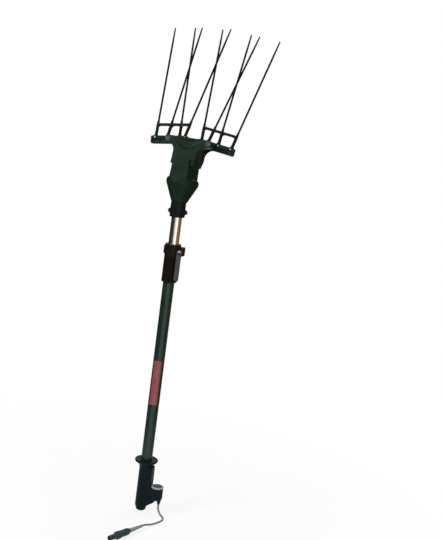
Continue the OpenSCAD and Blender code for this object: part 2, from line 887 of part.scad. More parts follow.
module head_hollow() {
    rotate_extrude() barrel_profile(shell_wall);
    // Gear chamber in front of the parting plane
    y_rod(gear_room_r, crown_front_y - 1, 0, 0, crank_w);
    // Drive chamber behind it, open at the top
    intersection() {
        y_plate(-1, bars_rear_y) polygon([
            [-chamber_half, chamber_foot_w], [chamber_half, chamber_foot_w],
            [chamber_half, crank_w + ear_r], [chamber_mouth_half, pivot_w - ear_r - 2],
            [chamber_mouth_half, far], [-chamber_mouth_half, far],
            [-chamber_mouth_half, pivot_w - ear_r - 2], [-chamber_half, crank_w + ear_r]
        ]);
        x_plate() polygon([
            [-1, chamber_foot_w], [rear_foot_y - rear_wall, chamber_foot_w],
            [bars_rear_y, chamber_foot_w + rear_rise], [bars_rear_y, far], [-1, far]
        ]);
    }
    // Slot in which the comb bars swing, open to the sides
    translate([-far, bars_front_y, pivot_w - bar_h]) cube([2 * far, bars_rear_y - bars_front_y, far]);
    translate([0, 0, -cut]) cylinder(r = lip_bore_r, h = shell_lip + 2 * cut);
}

// Bosses that carry bearings, pivots and screws
module head_bosses() {
    y_rod(bearing_boss_r, crown_front_y - crank_bearing_t - 4, crown_front_y - 1, 0, crank_w);
    y_rod(bearing_boss_r, bars_rear_y - crank_bearing_t - 2, rear_y - 1, 0, crank_w);
    both_sides() for (spot = shell_screw_spots)
        y_rod(shell_boss_r, -shell_boss_y, shell_boss_y, spot[0], spot[1]);
}

module head_bores() {
    y_rod(crank_bearing_r + seat_gap, crown_front_y - 2 - crank_bearing_t, crown_front_y, 0, crank_w);
    y_rod(crank_bearing_r + seat_gap, bars_rear_y - crank_bearing_t - 3, bars_rear_y, 0, crank_w);
    y_rod(journal_r + part_gap, crown_front_y - crank_bearing_t - 5, bars_rear_y + 1.5, 0, crank_w);
    both_sides() {
        y_rod(pivot_bolt_r + seat_gap, -far, far, pivot_x, pivot_w);
        y_rod(pivot_head_r + slide_gap, -far, front_top_y, pivot_x, pivot_w);
        for (spot = shell_screw_spots) {
            y_rod(shell_screw_r, -spot[2], far, spot[0], spot[1]);
            y_rod(shell_screw_head_r + slide_gap, spot[2], far, spot[0], spot[1]);
        }
    }
    // Groove for the motor plate
    translate([0, 0, motor_top]) cylinder(r = motor_plate_r + 0.2, h = motor_plate_t + 2 * seat_gap);
}

module head_shell() {
    difference() {
        union() {
            difference() { head_blank(); head_hollow(); }
            intersection() { head_blank(); head_bosses(); }
        }
        head_bores();
    }
}

module head_front() {
    color("darkslategray") in_head() intersection() { head_shell(); front_half(); }
}

module head_rear() {
    color("darkslategray") in_head() intersection() { head_shell(); rear_half(); }
}

module head_screws() {
    color("silver") in_head() both_sides() for (spot = shell_screw_spots) union() {
        y_rod(shell_screw_r - seat_gap, 1 - spot[2], spot[2], spot[0], spot[1]);
        y_rod(shell_screw_head_r, spot[2], spot[2] + shell_screw_head_h, spot[0], spot[1]);
    }
}

// Motor

module motor_plate() {
    color("silver") in_head() difference() {
        translate([0, 0, motor_top + seat_gap]) cylinder(r = motor_plate_r, h = motor_plate_t);
        cylinder(r = bearing_r + 2, h = far);
        for (side = [-1, 1])
            translate([side * guide_x, guide_y, 0]) cylinder(r = guide_r + seat_gap, h = far);
    }
}

module motor_can() {
    color("gray") in_head() difference() {
        translate([0, 0, motor_foot]) cylinder(r = motor_r, h = motor_top - motor_foot);
        translate([0, 0, motor_foot - cut])
            cylinder(r = motor_r - motor_can_wall, h = motor_top - motor_foot - motor_can_wall - 1 + cut);
        translate([0, 0, motor_top - bearing_h]) cylinder(r = bearing_r + seat_gap, h = far);
        cylinder(r = shaft_r + 1, h = far);
    }
}

module motor_magnets() {
    color("dimgray") in_head() for (half = [0, 180]) rotate([0, 0, half - 65])
        rotate_extrude(angle = 130) translate([magnet_r - magnet_t, magnet_from])
            square([magnet_t, magnet_len]);
}

module motor_end_cap() {
    color("black") in_head() difference() {
        translate([0, 0, motor_foot - motor_cap_h]) cylinder(r = motor_r, h = motor_cap_h - seat_gap);
        translate([0, 0, motor_foot - bearing_h - seat_gap]) cylinder(r = bearing_r + seat_gap, h = far);
        translate([0, 0, motor_foot - motor_cap_h + 1]) cylinder(r = shaft_r + 1, h = far);
        for (side = [-1, 1]) translate([side * brush_x, 0, 0]) cylinder(r = motor_lead_r + 0.1, h = far);
    }
}

module motor_bearings() {
    color("silver") in_head() {
        ring(bearing_r, shaft_r + run_gap, motor_foot - bearing_h, motor_foot - seat_gap);
        ring(bearing_r, shaft_r + run_gap, motor_top - bearing_h, motor_top - seat_gap);
    }
}

module motor_leads() {
    bend_w = motor_foot - motor_cap_h - 10;
    color("firebrick") in_head() for (side = [-1, 1]) union() {
        translate([side * motor_lead_x, 0, -4]) cylinder(r = motor_lead_r, h = bend_w + 4);
        translate([side * motor_lead_x, 0, bend_w]) sphere(r = motor_lead_r);
        translate([side * motor_lead_x, 0, bend_w]) rotate([0, side * 42, 0])
            cylinder(r = motor_lead_r, h = 13);
        translate([side * brush_x, 0, bend_w + 9]) cylinder(r = motor_lead_r, h = 7);
    }
}

module rotor_shaft() {
    color("silver") in_head() translate([0, 0, shaft_foot]) cylinder(r = shaft_r, h = shaft_tip - shaft_foot);
}

module armature() {
    color("peru") in_head() difference() {
        union() {
            translate([0, 0, winding_from]) cylinder(r = armature_r, h = winding_len);
            translate([0, 0, winding_from - commutator_len]) cylinder(r = commutator_r, h = commutator_len);
        }
        cylinder(r = shaft_r + seat_gap, h = far);
        for (k = [0 : winding_slots - 1])
            rotate([0, 0, 360 * k / winding_slots])
                translate([armature_r - slot_depth, -slot_w / 2, winding_from - cut])
                    cube([2 * slot_depth, slot_w, winding_len + 2 * cut]);
    }
}

// Gears

// One straight tooth: y runs from its foot to its tip
module tooth_outline(root, tip, pitch) {
    root_half = tooth_pitch_half + (pitch - root) * tooth_flank;
    tip_half = tooth_pitch_half - (tip - pitch) * tooth_flank;
    polygon([[-root_half, root], [root_half, root], [tip_half, tip], [-tip_half, tip]]);
}

module drive_pinion() {
    root_r = pinion_r - tooth_ded;
    color("gold") in_head() translate([0, 0, pinion_w - pinion_h / 2]) difference() {
        linear_extrude(pinion_h) union() {
            circle(r = root_r);
            for (k = [0 : pinion_teeth - 1])
                rotate(180 + 360 * k / pinion_teeth)
                    tooth_outline(root_r - 0.3, pinion_r + tooth_add, pinion_r);
        }
        translate([0, 0, -cut]) cylinder(r = shaft_r + seat_gap, h = pinion_h + 2 * cut);
    }
}

module crown_gear() {
    inner = crown_r - crown_face / 2;
    outer = crown_r + crown_face / 2;
    color("gold") in_head() translate([0, 0, crank_w]) union() {
        y_ring(outer, hub_r + seat_gap, crown_front_y, crown_root_y);
        for (k = [0 : crown_teeth - 1])
            rotate([0, 360 * (k + 0.5) / crown_teeth, 0])
                translate([0, 0, -outer]) linear_extrude(crown_face)
                    tooth_outline(crown_root_y - 0.2, crown_pitch_y + tooth_add, crown_pitch_y);
    }
}

module crank_shaft() {
    rear_web_y = yoke_y + yoke_t + 2;
    color("silver") in_head() translate([0, 0, crank_w]) union() {
        y_rod(journal_r, crown_front_y - crank_bearing_t - 2, crown_front_y);
        y_rod(hub_r, crown_front_y, crown_root_y + seat_gap);
        y_rod(web_r, crown_root_y + seat_gap, yoke_y - 2);
        y_rod(crank_pin_r, yoke_y - 2, rear_web_y, 0, crank_throw);
        y_rod(web_r, rear_web_y, rear_web_y + 4);
        y_rod(journal_r, rear_web_y + 4, rear_journal_y);
    }
}

module crank_roller() {
    color("gray") in_head()
        y_ring(roller_r, crank_pin_r + seat_gap, yoke_y - 1, yoke_y + yoke_t + 1, 0, crank_w + crank_throw);
}

module crank_bearings() {
    color("silver") in_head() {
        for (y = [crown_front_y - 2, bars_rear_y])
            y_ring(crank_bearing_r, journal_r + run_gap, y - crank_bearing_t, y, 0, crank_w);
    }
}

module drive_yoke() {
    window_w = crank_w + crank_throw;
    frame_half_w = window_half_w + yoke_rim;
    color("dimgray") in_head() union() {
        y_plate(yoke_y, yoke_y + yoke_t) difference() {
            union() {
                translate([-frame_half_w, window_w - window_half_h - yoke_foot_rim])
                    square([2 * frame_half_w, yoke_pin_w - window_w + window_half_h + yoke_foot_rim]);
                translate([-yoke_pin_x, yoke_pin_w - yoke_bar_half_h])
                    square([2 * yoke_pin_x, 2 * yoke_bar_half_h]);
                for (side = [-1, 1]) translate([side * yoke_pin_x, yoke_pin_w]) circle(r = yoke_bar_half_h);
            }
            translate([-window_half_w, window_w - window_half_h]) square(2 * [window_half_w, window_half_h]);
            for (side = [-1, 1])
                translate([side * guide_x - guide_r - run_gap, 0]) square([2 * (guide_r + run_gap), far]);
        }
        yoke_guide_lugs();
        y_rod(yoke_pin_r, yoke_y + yoke_t, left_bar_y + bar_t, -yoke_pin_x, yoke_pin_w);
        y_rod(yoke_pin_r, yoke_y + yoke_t, right_bar_y + bar_t, yoke_pin_x, yoke_pin_w);
    }
}

// Blocks on the yoke that run on the guide rods
module yoke_guide_lugs() {
    lug_half = guide_r + 2.5;
    for (side = [-1, 1]) difference() {
        translate([side * guide_x - lug_half, yoke_y, yoke_pin_w - yoke_bar_half_h])
            cube([2 * lug_half, yoke_t, 2 * yoke_bar_half_h]);
        translate([side * guide_x, guide_y, 0]) cylinder(r = guide_r + run_gap, h = far);
    }
}

module guide_rods() {
    color("silver") in_head() for (side = [-1, 1])
        translate([side * guide_x, guide_y, motor_top + seat_gap])
            cylinder(r = guide_r, h = guide_top - motor_top);
}

// Comb pivots

module pivot_bolts() {
    color("silver") in_head() both_sides() union() {
        y_rod(pivot_bolt_r, front_top_y, rear_y + pivot_nut_h + 1, pivot_x, pivot_w);
        y_rod(pivot_head_r, front_top_y - pivot_head_h, front_top_y, pivot_x, pivot_w);
    }
}

module pivot_nuts() {
    color("silver") in_head() both_sides()
        translate([pivot_x, rear_y, pivot_w]) rotate([-90, 0, 0]) difference() {
            cylinder(r = pivot_nut_r, h = pivot_nut_h, $fn = 6);
            translate([0, 0, -cut]) cylinder(r = pivot_bolt_r + seat_gap, h = pivot_nut_h + 2 * cut);
        }
}

module pivot_spacers() {
    color("gray") in_head() {
        bore_r = pivot_bolt_r + seat_gap;
        y_ring(spacer_r, bore_r, left_bar_y + bar_t + slide_gap, bars_rear_y, -pivot_x, pivot_w);
        y_ring(spacer_r, bore_r, bars_front_y, right_bar_y - slide_gap, pivot_x, pivot_w);
    }
}

// Combs, drawn level on the left and then swung open

// Places one comb's parts: side -1 is left and works in front
module on_comb(side) {
    in_head() mirror([side > 0 ? 1 : 0, 0, 0])
        translate([-pivot_x, side < 0 ? left_bar_y : right_bar_y, pivot_w])
            rotate([0, -half_swing, 0]) translate([pivot_x, 0, 0]) children();
}

// Frame of one tine: z runs along the tine from the bar's top
module on_tine(k) {
    translate([-tine_x[k], bar_t / 2 + tine_row[k] * tine_stagger, bar_h / 2])
        rotate([-tine_rake, 0, 0]) rotate([0, -tine_lean[k], 0]) children();
}

module comb_bar() {
    difference() {
        y_plate(0, bar_t) polygon([
            [-bar_outer_x, -bar_h / 2 + bar_chamfer], [-bar_outer_x + bar_chamfer, -bar_h / 2],
            [-bar_inner_x - bar_chamfer, -bar_h / 2], [-bar_inner_x, -bar_h / 2 + bar_chamfer],
            [-bar_inner_x, bar_h / 2 - bar_chamfer], [-bar_inner_x - bar_chamfer, bar_h / 2],
            [-bar_outer_x + bar_chamfer, bar_h / 2], [-bar_outer_x, bar_h / 2 - bar_chamfer]
        ]);
        y_rod(pivot_bolt_r + run_gap, -cut, bar_t + cut, -pivot_x, 0);
        y_plate(-cut, bar_t + cut) union() {
            translate([-yoke_pin_x - yoke_slot_half, -yoke_pin_r - yoke_slot_gap])
                square(2 * [yoke_slot_half, yoke_pin_r + yoke_slot_gap]);
            for (end = [-1, 1])
                translate([-yoke_pin_x + end * yoke_slot_half, 0]) circle(r = yoke_pin_r + yoke_slot_gap);
        }
        for (k = [0 : 3]) on_set_screw(k) y_rod(set_screw_r + seat_gap, -cut, set_screw_depth);
    }
}

// Place of each tine's set screw on the bar's front
module on_set_screw(k) {
    translate([-tine_x[k], 0, bar_h / 2 - 5]) children();
}

module set_screws() {
    for (k = [0 : 3]) on_set_screw(k) y_rod(set_screw_r, 0.2, set_screw_depth);
}

// How far out a tine stands at a height above the bar
function tine_x_at(k, h) = tine_x[k] + h * tan(tine_lean[k]) / cos(tine_rake);

// Posts and the thin rail that ties them
module tine_posts() {
    rail_y = bar_t / 2 + rail_w * tan(tine_rake);
    rail_from = tine_x_at(0, rail_w);
    rail_to = tine_x_at(3, rail_w);
    difference() {
        union() {
            difference() {
                for (k = [0 : 3]) on_tine(k) translate([0, 0, -8]) cylinder(r = post_r, h = post_h + 8);
                translate([-far, -far, bar_h / 2 - far]) cube([2 * far, 2 * far, far]);
            }
            translate([-rail_from, rail_y - rail_t / 2, bar_h / 2 + rail_w - rail_h / 2])
                cube([rail_from - rail_to, rail_t, rail_h]);
        }
        for (k = [0 : 3]) on_tine(k) translate([0, 0, tine_seat]) cylinder(r = tine_r + seat_gap, h = far);
    }
}

module tines() {
    for (k = [0 : 3]) on_tine(k) translate([0, 0, tine_seat + seat_gap]) union() {
        cylinder(r = tine_r, h = post_h - tine_seat + 1);
        translate([0, 0, post_h - tine_seat]) cylinder(r1 = tine_r, r2 = tine_tip_r, h = tine_len);
        translate([0, 0, post_h - tine_seat + tine_len]) sphere(r = tine_tip_r);
    }
}

module comb_bar_left() { color("darkslategray") on_comb(-1) comb_bar(); }
module comb_bar_right() { color("darkslategray") on_comb(1) comb_bar(); }
module tine_posts_left() { color("black") on_comb(-1) tine_posts(); }
module tine_posts_right() { color("black") on_comb(1) tine_posts(); }
module tines_left() { color("black") on_comb(-1) tines(); }
module tines_right() { color("black") on_comb(1) tines(); }
module set_screws_left() { color("silver") on_comb(-1) set_screws(); }
module set_screws_right() { color("silver") on_comb(1) set_screws(); }

outer_tube();
end_cap();
handle_front();
handle_rear();
handle_screws();
switch_bezel();
switch_body();
button_spring();
switch_button();
handle_lead();
coiled_lead();
label();
lock_collar();
lock_grip();
clamp_bolt();
clamp_nut();
lever_pin();
lock_lever();
cord_gland();
supply_cord();
plug_boot();
plug_body();
plug_contacts();
plug_ring();
inner_tube();
slide_bush();
neck_socket();
socket_bolt();
socket_nut();
head_front();
head_rear();
head_screws();
motor_plate();
motor_can();
motor_magnets();
motor_end_cap();
motor_bearings();
motor_leads();
crank_bearings();
guide_rods();
pivot_bolts();
pivot_nuts();
pivot_spacers();
rotor_shaft();
armature();
drive_pinion();
crank_shaft();
crown_gear();
crank_roller();
drive_yoke();
comb_bar_left();
tine_posts_left();
tines_left();
set_screws_left();
comb_bar_right();
tine_posts_right();
tines_right();
set_screws_right();
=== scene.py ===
"""Looks of the electric olive harvester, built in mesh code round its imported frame."""

import logging
import math
from dataclasses import dataclass
from enum import Enum
from typing import ClassVar, Optional, Sequence

import bmesh
import bpy
from mathutils import Matrix, Vector


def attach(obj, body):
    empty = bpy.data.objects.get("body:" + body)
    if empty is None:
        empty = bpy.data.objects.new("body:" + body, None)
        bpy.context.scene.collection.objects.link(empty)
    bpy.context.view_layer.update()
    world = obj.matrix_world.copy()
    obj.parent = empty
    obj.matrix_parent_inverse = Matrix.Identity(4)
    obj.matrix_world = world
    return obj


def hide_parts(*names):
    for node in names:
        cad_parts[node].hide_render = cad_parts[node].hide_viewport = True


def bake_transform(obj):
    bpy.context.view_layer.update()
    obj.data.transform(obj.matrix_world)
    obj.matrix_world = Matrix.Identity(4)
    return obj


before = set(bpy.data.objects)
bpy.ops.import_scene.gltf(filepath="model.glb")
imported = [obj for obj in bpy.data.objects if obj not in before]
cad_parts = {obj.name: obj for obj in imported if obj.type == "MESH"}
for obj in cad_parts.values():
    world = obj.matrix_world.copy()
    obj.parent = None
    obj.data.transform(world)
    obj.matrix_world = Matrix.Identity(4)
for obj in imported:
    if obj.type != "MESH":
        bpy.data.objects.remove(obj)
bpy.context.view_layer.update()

LOG = logging.getLogger("harvester")
MM = 0.001
# Points nearer than this are one point
WELD_MM = 0.002
# Least radius of a turned end, so that its ring stays a ring
AXIS_MM = 0.001
# Edges sharper than this are rounded
EDGE_DEG = 40.0
# Steepest angles that are shaded smooth, on moulded skins and on turned ones
MOULDED_DEG = 50.0
TURNED_DEG = 35.0
Point2 = tuple[float, float]
Point3 = tuple[float, float, float]


# Materials


def linear(code: str) -> tuple[float, float, float, float]:
    """Turn an sRGB hex colour into linear RGBA.

    Args:
        code: Six hex digits, with or without a leading mark.

    Returns:
        Linear red, green, blue and an alpha of 1.
    """
    digits = code.lstrip("#")
    channels = [int(digits[i:i + 2], 16) / 255 for i in (0, 2, 4)]
    red, green, blue = (c / 12.92 if c <= 0.04045 else ((c + 0.055) / 1.055) ** 2.4 for c in channels)
    return red, green, blue, 1.0


def add_node(
    tree: bpy.types.NodeTree, kind: str, settings: Optional[dict] = None, links: Optional[dict] = None
) -> bpy.types.Node:
    """Add one shader node with its settings and links.

    Args:
        tree: Node tree that gets the node.
        kind: Blender's name of the node type.
        settings: Values by input name, input number or attribute name.
        links: Output sockets by input name or number.

    Returns:
        The new node.
    """
    node = tree.nodes.new(kind)
    for key, value in (settings or {}).items():
        if isinstance(key, int) or key in node.inputs:
            node.inputs[key].default_value = value
        else:
            setattr(node, key, value)
    for key, socket in (links or {}).items():
        tree.links.new(socket, node.inputs[key])
    return node


def bare_tree(owner: bpy.types.ID) -> bpy.types.NodeTree:
    """Switch on the node tree of a material or world, and empty it.

    Args:
        owner: The material or world.

    Returns:
        Its node tree.
    """
    owner.use_nodes = True
    owner.node_tree.nodes.clear()
    return owner.node_tree


def add_object(name: str, data: bpy.types.ID) -> bpy.types.Object:
    """Put new data into the scene as an object.

    Args:
        name: Name of the object.
        data: Its mesh, curve, camera or lamp.

    Returns:
        The new object.
    """
    made = bpy.data.objects.new(name, data)
    bpy.context.scene.collection.objects.link(made)
    return made


class Grain(Enum):
    """How a surface was made, as the stretch of its grain along X, Y and Z."""

    MOULDED = (1.0, 1.0, 1.0)
    DRAWN = (1.0, 1.0, 0.03)
    TURNED = (0.05, 0.05, 1.0)


@dataclass(frozen=True)
class Finish:
    """A real material with the way its surface was made.

    Colours are sRGB hex, and pattern sizes are millimetres on the object. The real grain of these surfaces is
    finer than 0.2 mm, which no picture would show, so it is drawn coarser, at 0.4 mm and more.
    """

    name: str
    colour: str
    mottle: str
    roughness: float
    grain: Grain = Grain.MOULDED
    grain_mm: float = 1.2
    grain_depth_mm: float = 0.05
    mottle_mm: float = 25.0
    roughness_spread: float = 0.08
    metallic: float = 0.0
    ior: float = 1.5
    specular: float = 0.5
    coat: float = 0.0
    edge_wear_and_highlight: str = ""
    slot: str = ""

    # Shared by all finishes, as settings of their nodes: how rough the noises are, where they turn from one
    # tone to the other, how an edge is lightened (rubbed wear, and on the pale bezel a painted highlight),
    # how much the grain stands out and how clear a coat is
    MOTTLE_NOISE: ClassVar[dict[str, float]] = {"Detail": 5.0, "Roughness": 0.6}
    GRAIN_NOISE: ClassVar[dict[str, float]] = {"Detail": 3.0, "Roughness": 0.55}
    MOTTLE_SPAN: ClassVar[dict[str, float]] = {"From Min": 0.35, "From Max": 0.68}
    GRAIN_SPAN: ClassVar[dict[str, float]] = {"From Min": 0.3, "From Max": 0.7}
    RUB_AND_HIGHLIGHT_SPAN: ClassVar[dict[str, float]] = {"From Min": 0.99, "From Max": 0.8, "To Max": 0.55}
    RUB_AND_HIGHLIGHT_MM: ClassVar[float] = 1.2
    RELIEF: ClassVar[float] = 0.6
    COAT_ROUGHNESS: ClassVar[float] = 0.12

    def put_on(self, piece: bpy.types.Object) -> None:
        """Make this finish the only material of an object."""
        piece.data.materials.clear()
        piece.data.materials.append(self.material())

    def material(self) -> bpy.types.Material:
        """Return this finish's Blender material, made once."""
        found = bpy.data.materials.get(self.name)
        return found if found else self._make()

    def _make(self) -> bpy.types.Material:
        """Build the node tree: mottled colour, lighter edges (rubbed wear, and a painted highlight on the
        pale bezel), uneven gloss and a fine grain in relief.

        Returns:
            The new material.
        """
        made = bpy.data.materials.new(self.name)
        tree = bare_tree(made)
        place = add_node(tree, "ShaderNodeTexCoord").outputs["Object"]
        spun = add_node(tree, "ShaderNodeMapping", {"Scale": self.grain.value}, {"Vector": place})
        mottle = add_node(tree, "ShaderNodeTexNoise",
                          {"Scale": 1 / (self.mottle_mm * MM), **self.MOTTLE_NOISE}, {"Vector": place})
        grain = add_node(tree, "ShaderNodeTexNoise",
                         {"Scale": 1 / (self.grain_mm * MM), **self.GRAIN_NOISE},
                         {"Vector": spun.outputs["Vector"]})
        spots = add_node(tree, "ShaderNodeMapRange", self.MOTTLE_SPAN, {"Value": mottle.outputs["Fac"]})
        tones = {"data_type": "RGBA", 6: linear(self.colour), 7: linear(self.mottle)}
        tint = add_node(tree, "ShaderNodeMix", tones, {0: spots.outputs["Result"]}).outputs[2]
        # Edges and creases lean towards a second colour: rubbed wear on most finishes, a painted highlight
        # along the pale bezel's rim
        if self.edge_wear_and_highlight:
            flat = add_node(tree, "ShaderNodeNewGeometry").outputs["Normal"]
            rounded = add_node(tree, "ShaderNodeBevel", {"samples": 4, "Radius": self.RUB_AND_HIGHLIGHT_MM * MM})
            lean = add_node(tree, "ShaderNodeVectorMath", {"operation": "DOT_PRODUCT"},
                            {0: flat, 1: rounded.outputs["Normal"]})
            rub_and_highlight = add_node(tree, "ShaderNodeMapRange", self.RUB_AND_HIGHLIGHT_SPAN, {"Value": lean.outputs["Value"]})
            tint = add_node(tree, "ShaderNodeMix", {"data_type": "RGBA", 7: linear(self.edge_wear_and_highlight)},
                            {0: rub_and_highlight.outputs["Result"], 6: tint}).outputs[2]
        low, high = self.roughness - self.roughness_spread, self.roughness + self.roughness_spread
        gloss = add_node(tree, "ShaderNodeMapRange", {**self.GRAIN_SPAN, "To Min": low, "To Max": high},
                         {"Value": grain.outputs["Fac"]})
        relief = add_node(tree, "ShaderNodeBump",
                          {"Strength": self.RELIEF, "Distance": self.grain_depth_mm * MM},
                          {"Height": grain.outputs["Fac"]})
        surface = add_node(tree, "ShaderNodeBsdfPrincipled",
                           {"Metallic": self.metallic, "IOR": self.ior, "Specular IOR Level": self.specular,
                            "Coat Weight": self.coat, "Coat Roughness": self.COAT_ROUGHNESS},
                           {"Base Color": tint, "Roughness": gloss.outputs["Result"],
                            "Normal": relief.outputs["Normal"]})
        add_node(tree, "ShaderNodeOutputMaterial", {}, {"Surface": surface.outputs["BSDF"]})
        return made


# Powder-coated steel tube: smooth dark green with a soft orange peel, which blurs its long highlight
POWDER_TUBE = Finish("powder_coated_steel_tube", "0c241c", "132e25", 0.36, grain_mm=2.2, grain_depth_mm=0.04,
                     mottle_mm=60, specular=0.4, coat=0.1, slot="painted_tube")
# Drawn aluminium tube: bright, with fine lines along the draw that stretch the highlight
DRAWN_ALUMINIUM = Finish("drawn_aluminium_tube", "efece2", "d8d0bd", 0.24, grain=Grain.DRAWN, grain_mm=0.7,
                         grain_depth_mm=0.02, metallic=1.0, mottle_mm=40, roughness_spread=0.06,
                         slot="bare_tube")
# Moulded green nylon of the head: satin, spark-eroded texture, paler rubbed edges
GREEN_NYLON = Finish("moulded_green_nylon", "17291f", "101e16", 0.46, grain_mm=1.0, grain_depth_mm=0.06,
                     mottle_mm=45, specular=0.08, edge_wear_and_highlight="2a3b31", slot="green_shell")
# Moulded black nylon of sockets, posts and the pole's cap: satin near-black with greyed edges
BLACK_NYLON = Finish("moulded_black_nylon", "0f140f", "151b16", 0.44, grain_mm=0.9, grain_depth_mm=0.05,
                     specular=0.08, edge_wear_and_highlight="2a302b", slot="black_nylon")
# Moulded brown-black nylon of the clamp's ring: warmer than the rest, edges rubbed to a dull tan
BROWN_NYLON = Finish("moulded_brown_black_nylon", "191410", "120f0c", 0.48, grain_mm=0.9, grain_depth_mm=0.05,
                     specular=0.1, edge_wear_and_highlight="4a4034", slot="black_nylon")
# Moulded slate nylon of the plug: satin blue-grey, between the handle's tone and the cord's
SLATE_NYLON = Finish("moulded_slate_nylon", "33444a", "28373c", 0.44, grain_mm=0.9, grain_depth_mm=0.05,
                     specular=0.16, edge_wear_and_highlight="51646a", slot="black_nylon")
# Moulded blue-black handle plastic: close to polypropylene, with a soft sheen
HANDLE_PLASTIC = Finish("moulded_blue_black_polypropylene", "0b151a", "101c22", 0.46, grain_mm=1.1,
                        grain_depth_mm=0.06, mottle_mm=35, specular=0.08, edge_wear_and_highlight="25353a",
                        slot="handle_plastic")
# Moulded grey acetal: even mid grey, slightly waxy
GREY_ACETAL = Finish("moulded_grey_acetal", "474a42", "3c3f38", 0.38, grain_mm=0.8, grain_depth_mm=0.03,
                     specular=0.2, edge_wear_and_highlight="72766e", slot="grey_plastic")
# Pale bezel ring: moulded light grey ABS, with a painted highlight in near-white along the edges of its rim
PALE_ABS = Finish("moulded_pale_abs", "8fa2a0", "7f9391", 0.3, grain_mm=0.7, grain_depth_mm=0.02,
                  edge_wear_and_highlight="c5d0ce", slot="grey_plastic")
# Silicone button: dull green-grey, dusty, no sharp highlight
BUTTON_SILICONE = Finish("moulded_silicone_button", "30453f", "3a504c", 0.55, grain_mm=0.6,
                         grain_depth_mm=0.03, ior=1.42, specular=0.25, slot="button_rubber")
# Extruded rubber jacket: grey-green and matt with a faint bloom
RUBBER_JACKET = Finish("extruded_rubber_jacket", "748382", "667573", 0.55, grain_mm=1.0, grain_depth_mm=0.05,
                       mottle_mm=18, specular=0.3, slot="cord_rubber")
# Moulded rubber boot: a paler grey than the jacket
RUBBER_BOOT = Finish("moulded_rubber_boot", "82918e", "74857f", 0.5, grain_mm=0.9, grain_depth_mm=0.05,
                     specular=0.3, edge_wear_and_highlight="98a5a1", slot="cord_rubber")
# Moulded grip rubber: brown-black and matt, edges a little greyed by hands
GRIP_RUBBER = Finish("moulded_grip_rubber", "120b0b", "1a1110", 0.62, grain_mm=0.8, grain_depth_mm=0.08,
                     specular=0.06, edge_wear_and_highlight="2e2521", slot="grip_rubber")
# Laminated vinyl film, bare of print: red under a thin gloss laminate, faded to tan in patches
RED_VINYL = Finish("laminated_red_vinyl", "8e343a", "80504c", 0.34, grain_mm=3.0, grain_depth_mm=0.02,
                   mottle_mm=22, coat=0.2, slot="label_film")
# Zinc-plated steel: cool bright grey with a fine turned grain
ZINC_STEEL = Finish("zinc_plated_steel", "a9adaf", "949898", 0.34, grain=Grain.TURNED, grain_mm=0.5,
                    grain_depth_mm=0.02, metallic=1.0, mottle_mm=8, slot="zinc_steel")
# Black-oxide steel: dark grey and slightly oily, with the same turned grain
OXIDE_STEEL = Finish("black_oxide_steel", "424843", "2e332f", 0.42, grain=Grain.TURNED, grain_mm=0.5,
                     grain_depth_mm=0.02, metallic=1.0, mottle_mm=5, slot="zinc_steel")
# Yellow-passivated steel: zinc with a brown-gold film
PASSIVATED_STEEL = Finish("yellow_passivated_steel", "6f563f", "57422f", 0.4, grain=Grain.TURNED,
                          grain_mm=0.5, grain_depth_mm=0.02, metallic=1.0, mottle_mm=6,
                          slot="passivated_steel")
# Turned brass: warm and bright
TURNED_BRASS = Finish("turned_brass", "c9a24e", "b58d3f", 0.28, grain=Grain.TURNED, grain_mm=0.4,
                      grain_depth_mm=0.02, metallic=1.0, mottle_mm=6, slot="brass")
# Machined white acetal: an even, waxy white
WHITE_ACETAL = Finish("machined_white_acetal", "dcdcd4", "cfcfc6", 0.4, grain_mm=0.6, grain_depth_mm=0.02,
                      slot="white_acetal")
# Pultruded fibre rod: black, dulled by use, with lines along its length
FIBRE_ROD = Finish("pultruded_fibre_rod", "0b0e0c", "121512", 0.5, grain=Grain.DRAWN, grain_mm=0.8,
                   grain_depth_mm=0.03, specular=0.05, slot="tine_carbon")
# Enamelled copper winding inside the motor: red-brown and bright under its varnish
COPPER_WINDING = Finish("enamelled_copper_winding", "a5602f", "8a4a22", 0.35, grain_mm=0.6, metallic=1.0,
                        slot="copper_winding")
# Sintered ferrite of the magnets: dull dark grey, like slate
FERRITE = Finish("sintered_ferrite", "34363a", "2b2c30", 0.7, grain_mm=0.5, slot="ferrite")
# Extruded red PVC of the wires inside the neck: plain and slightly waxy
RED_PVC = Finish("extruded_red_pvc", "a0241c", "8d1f18", 0.45, grain_mm=0.7, slot="red_wire")


# Meshes


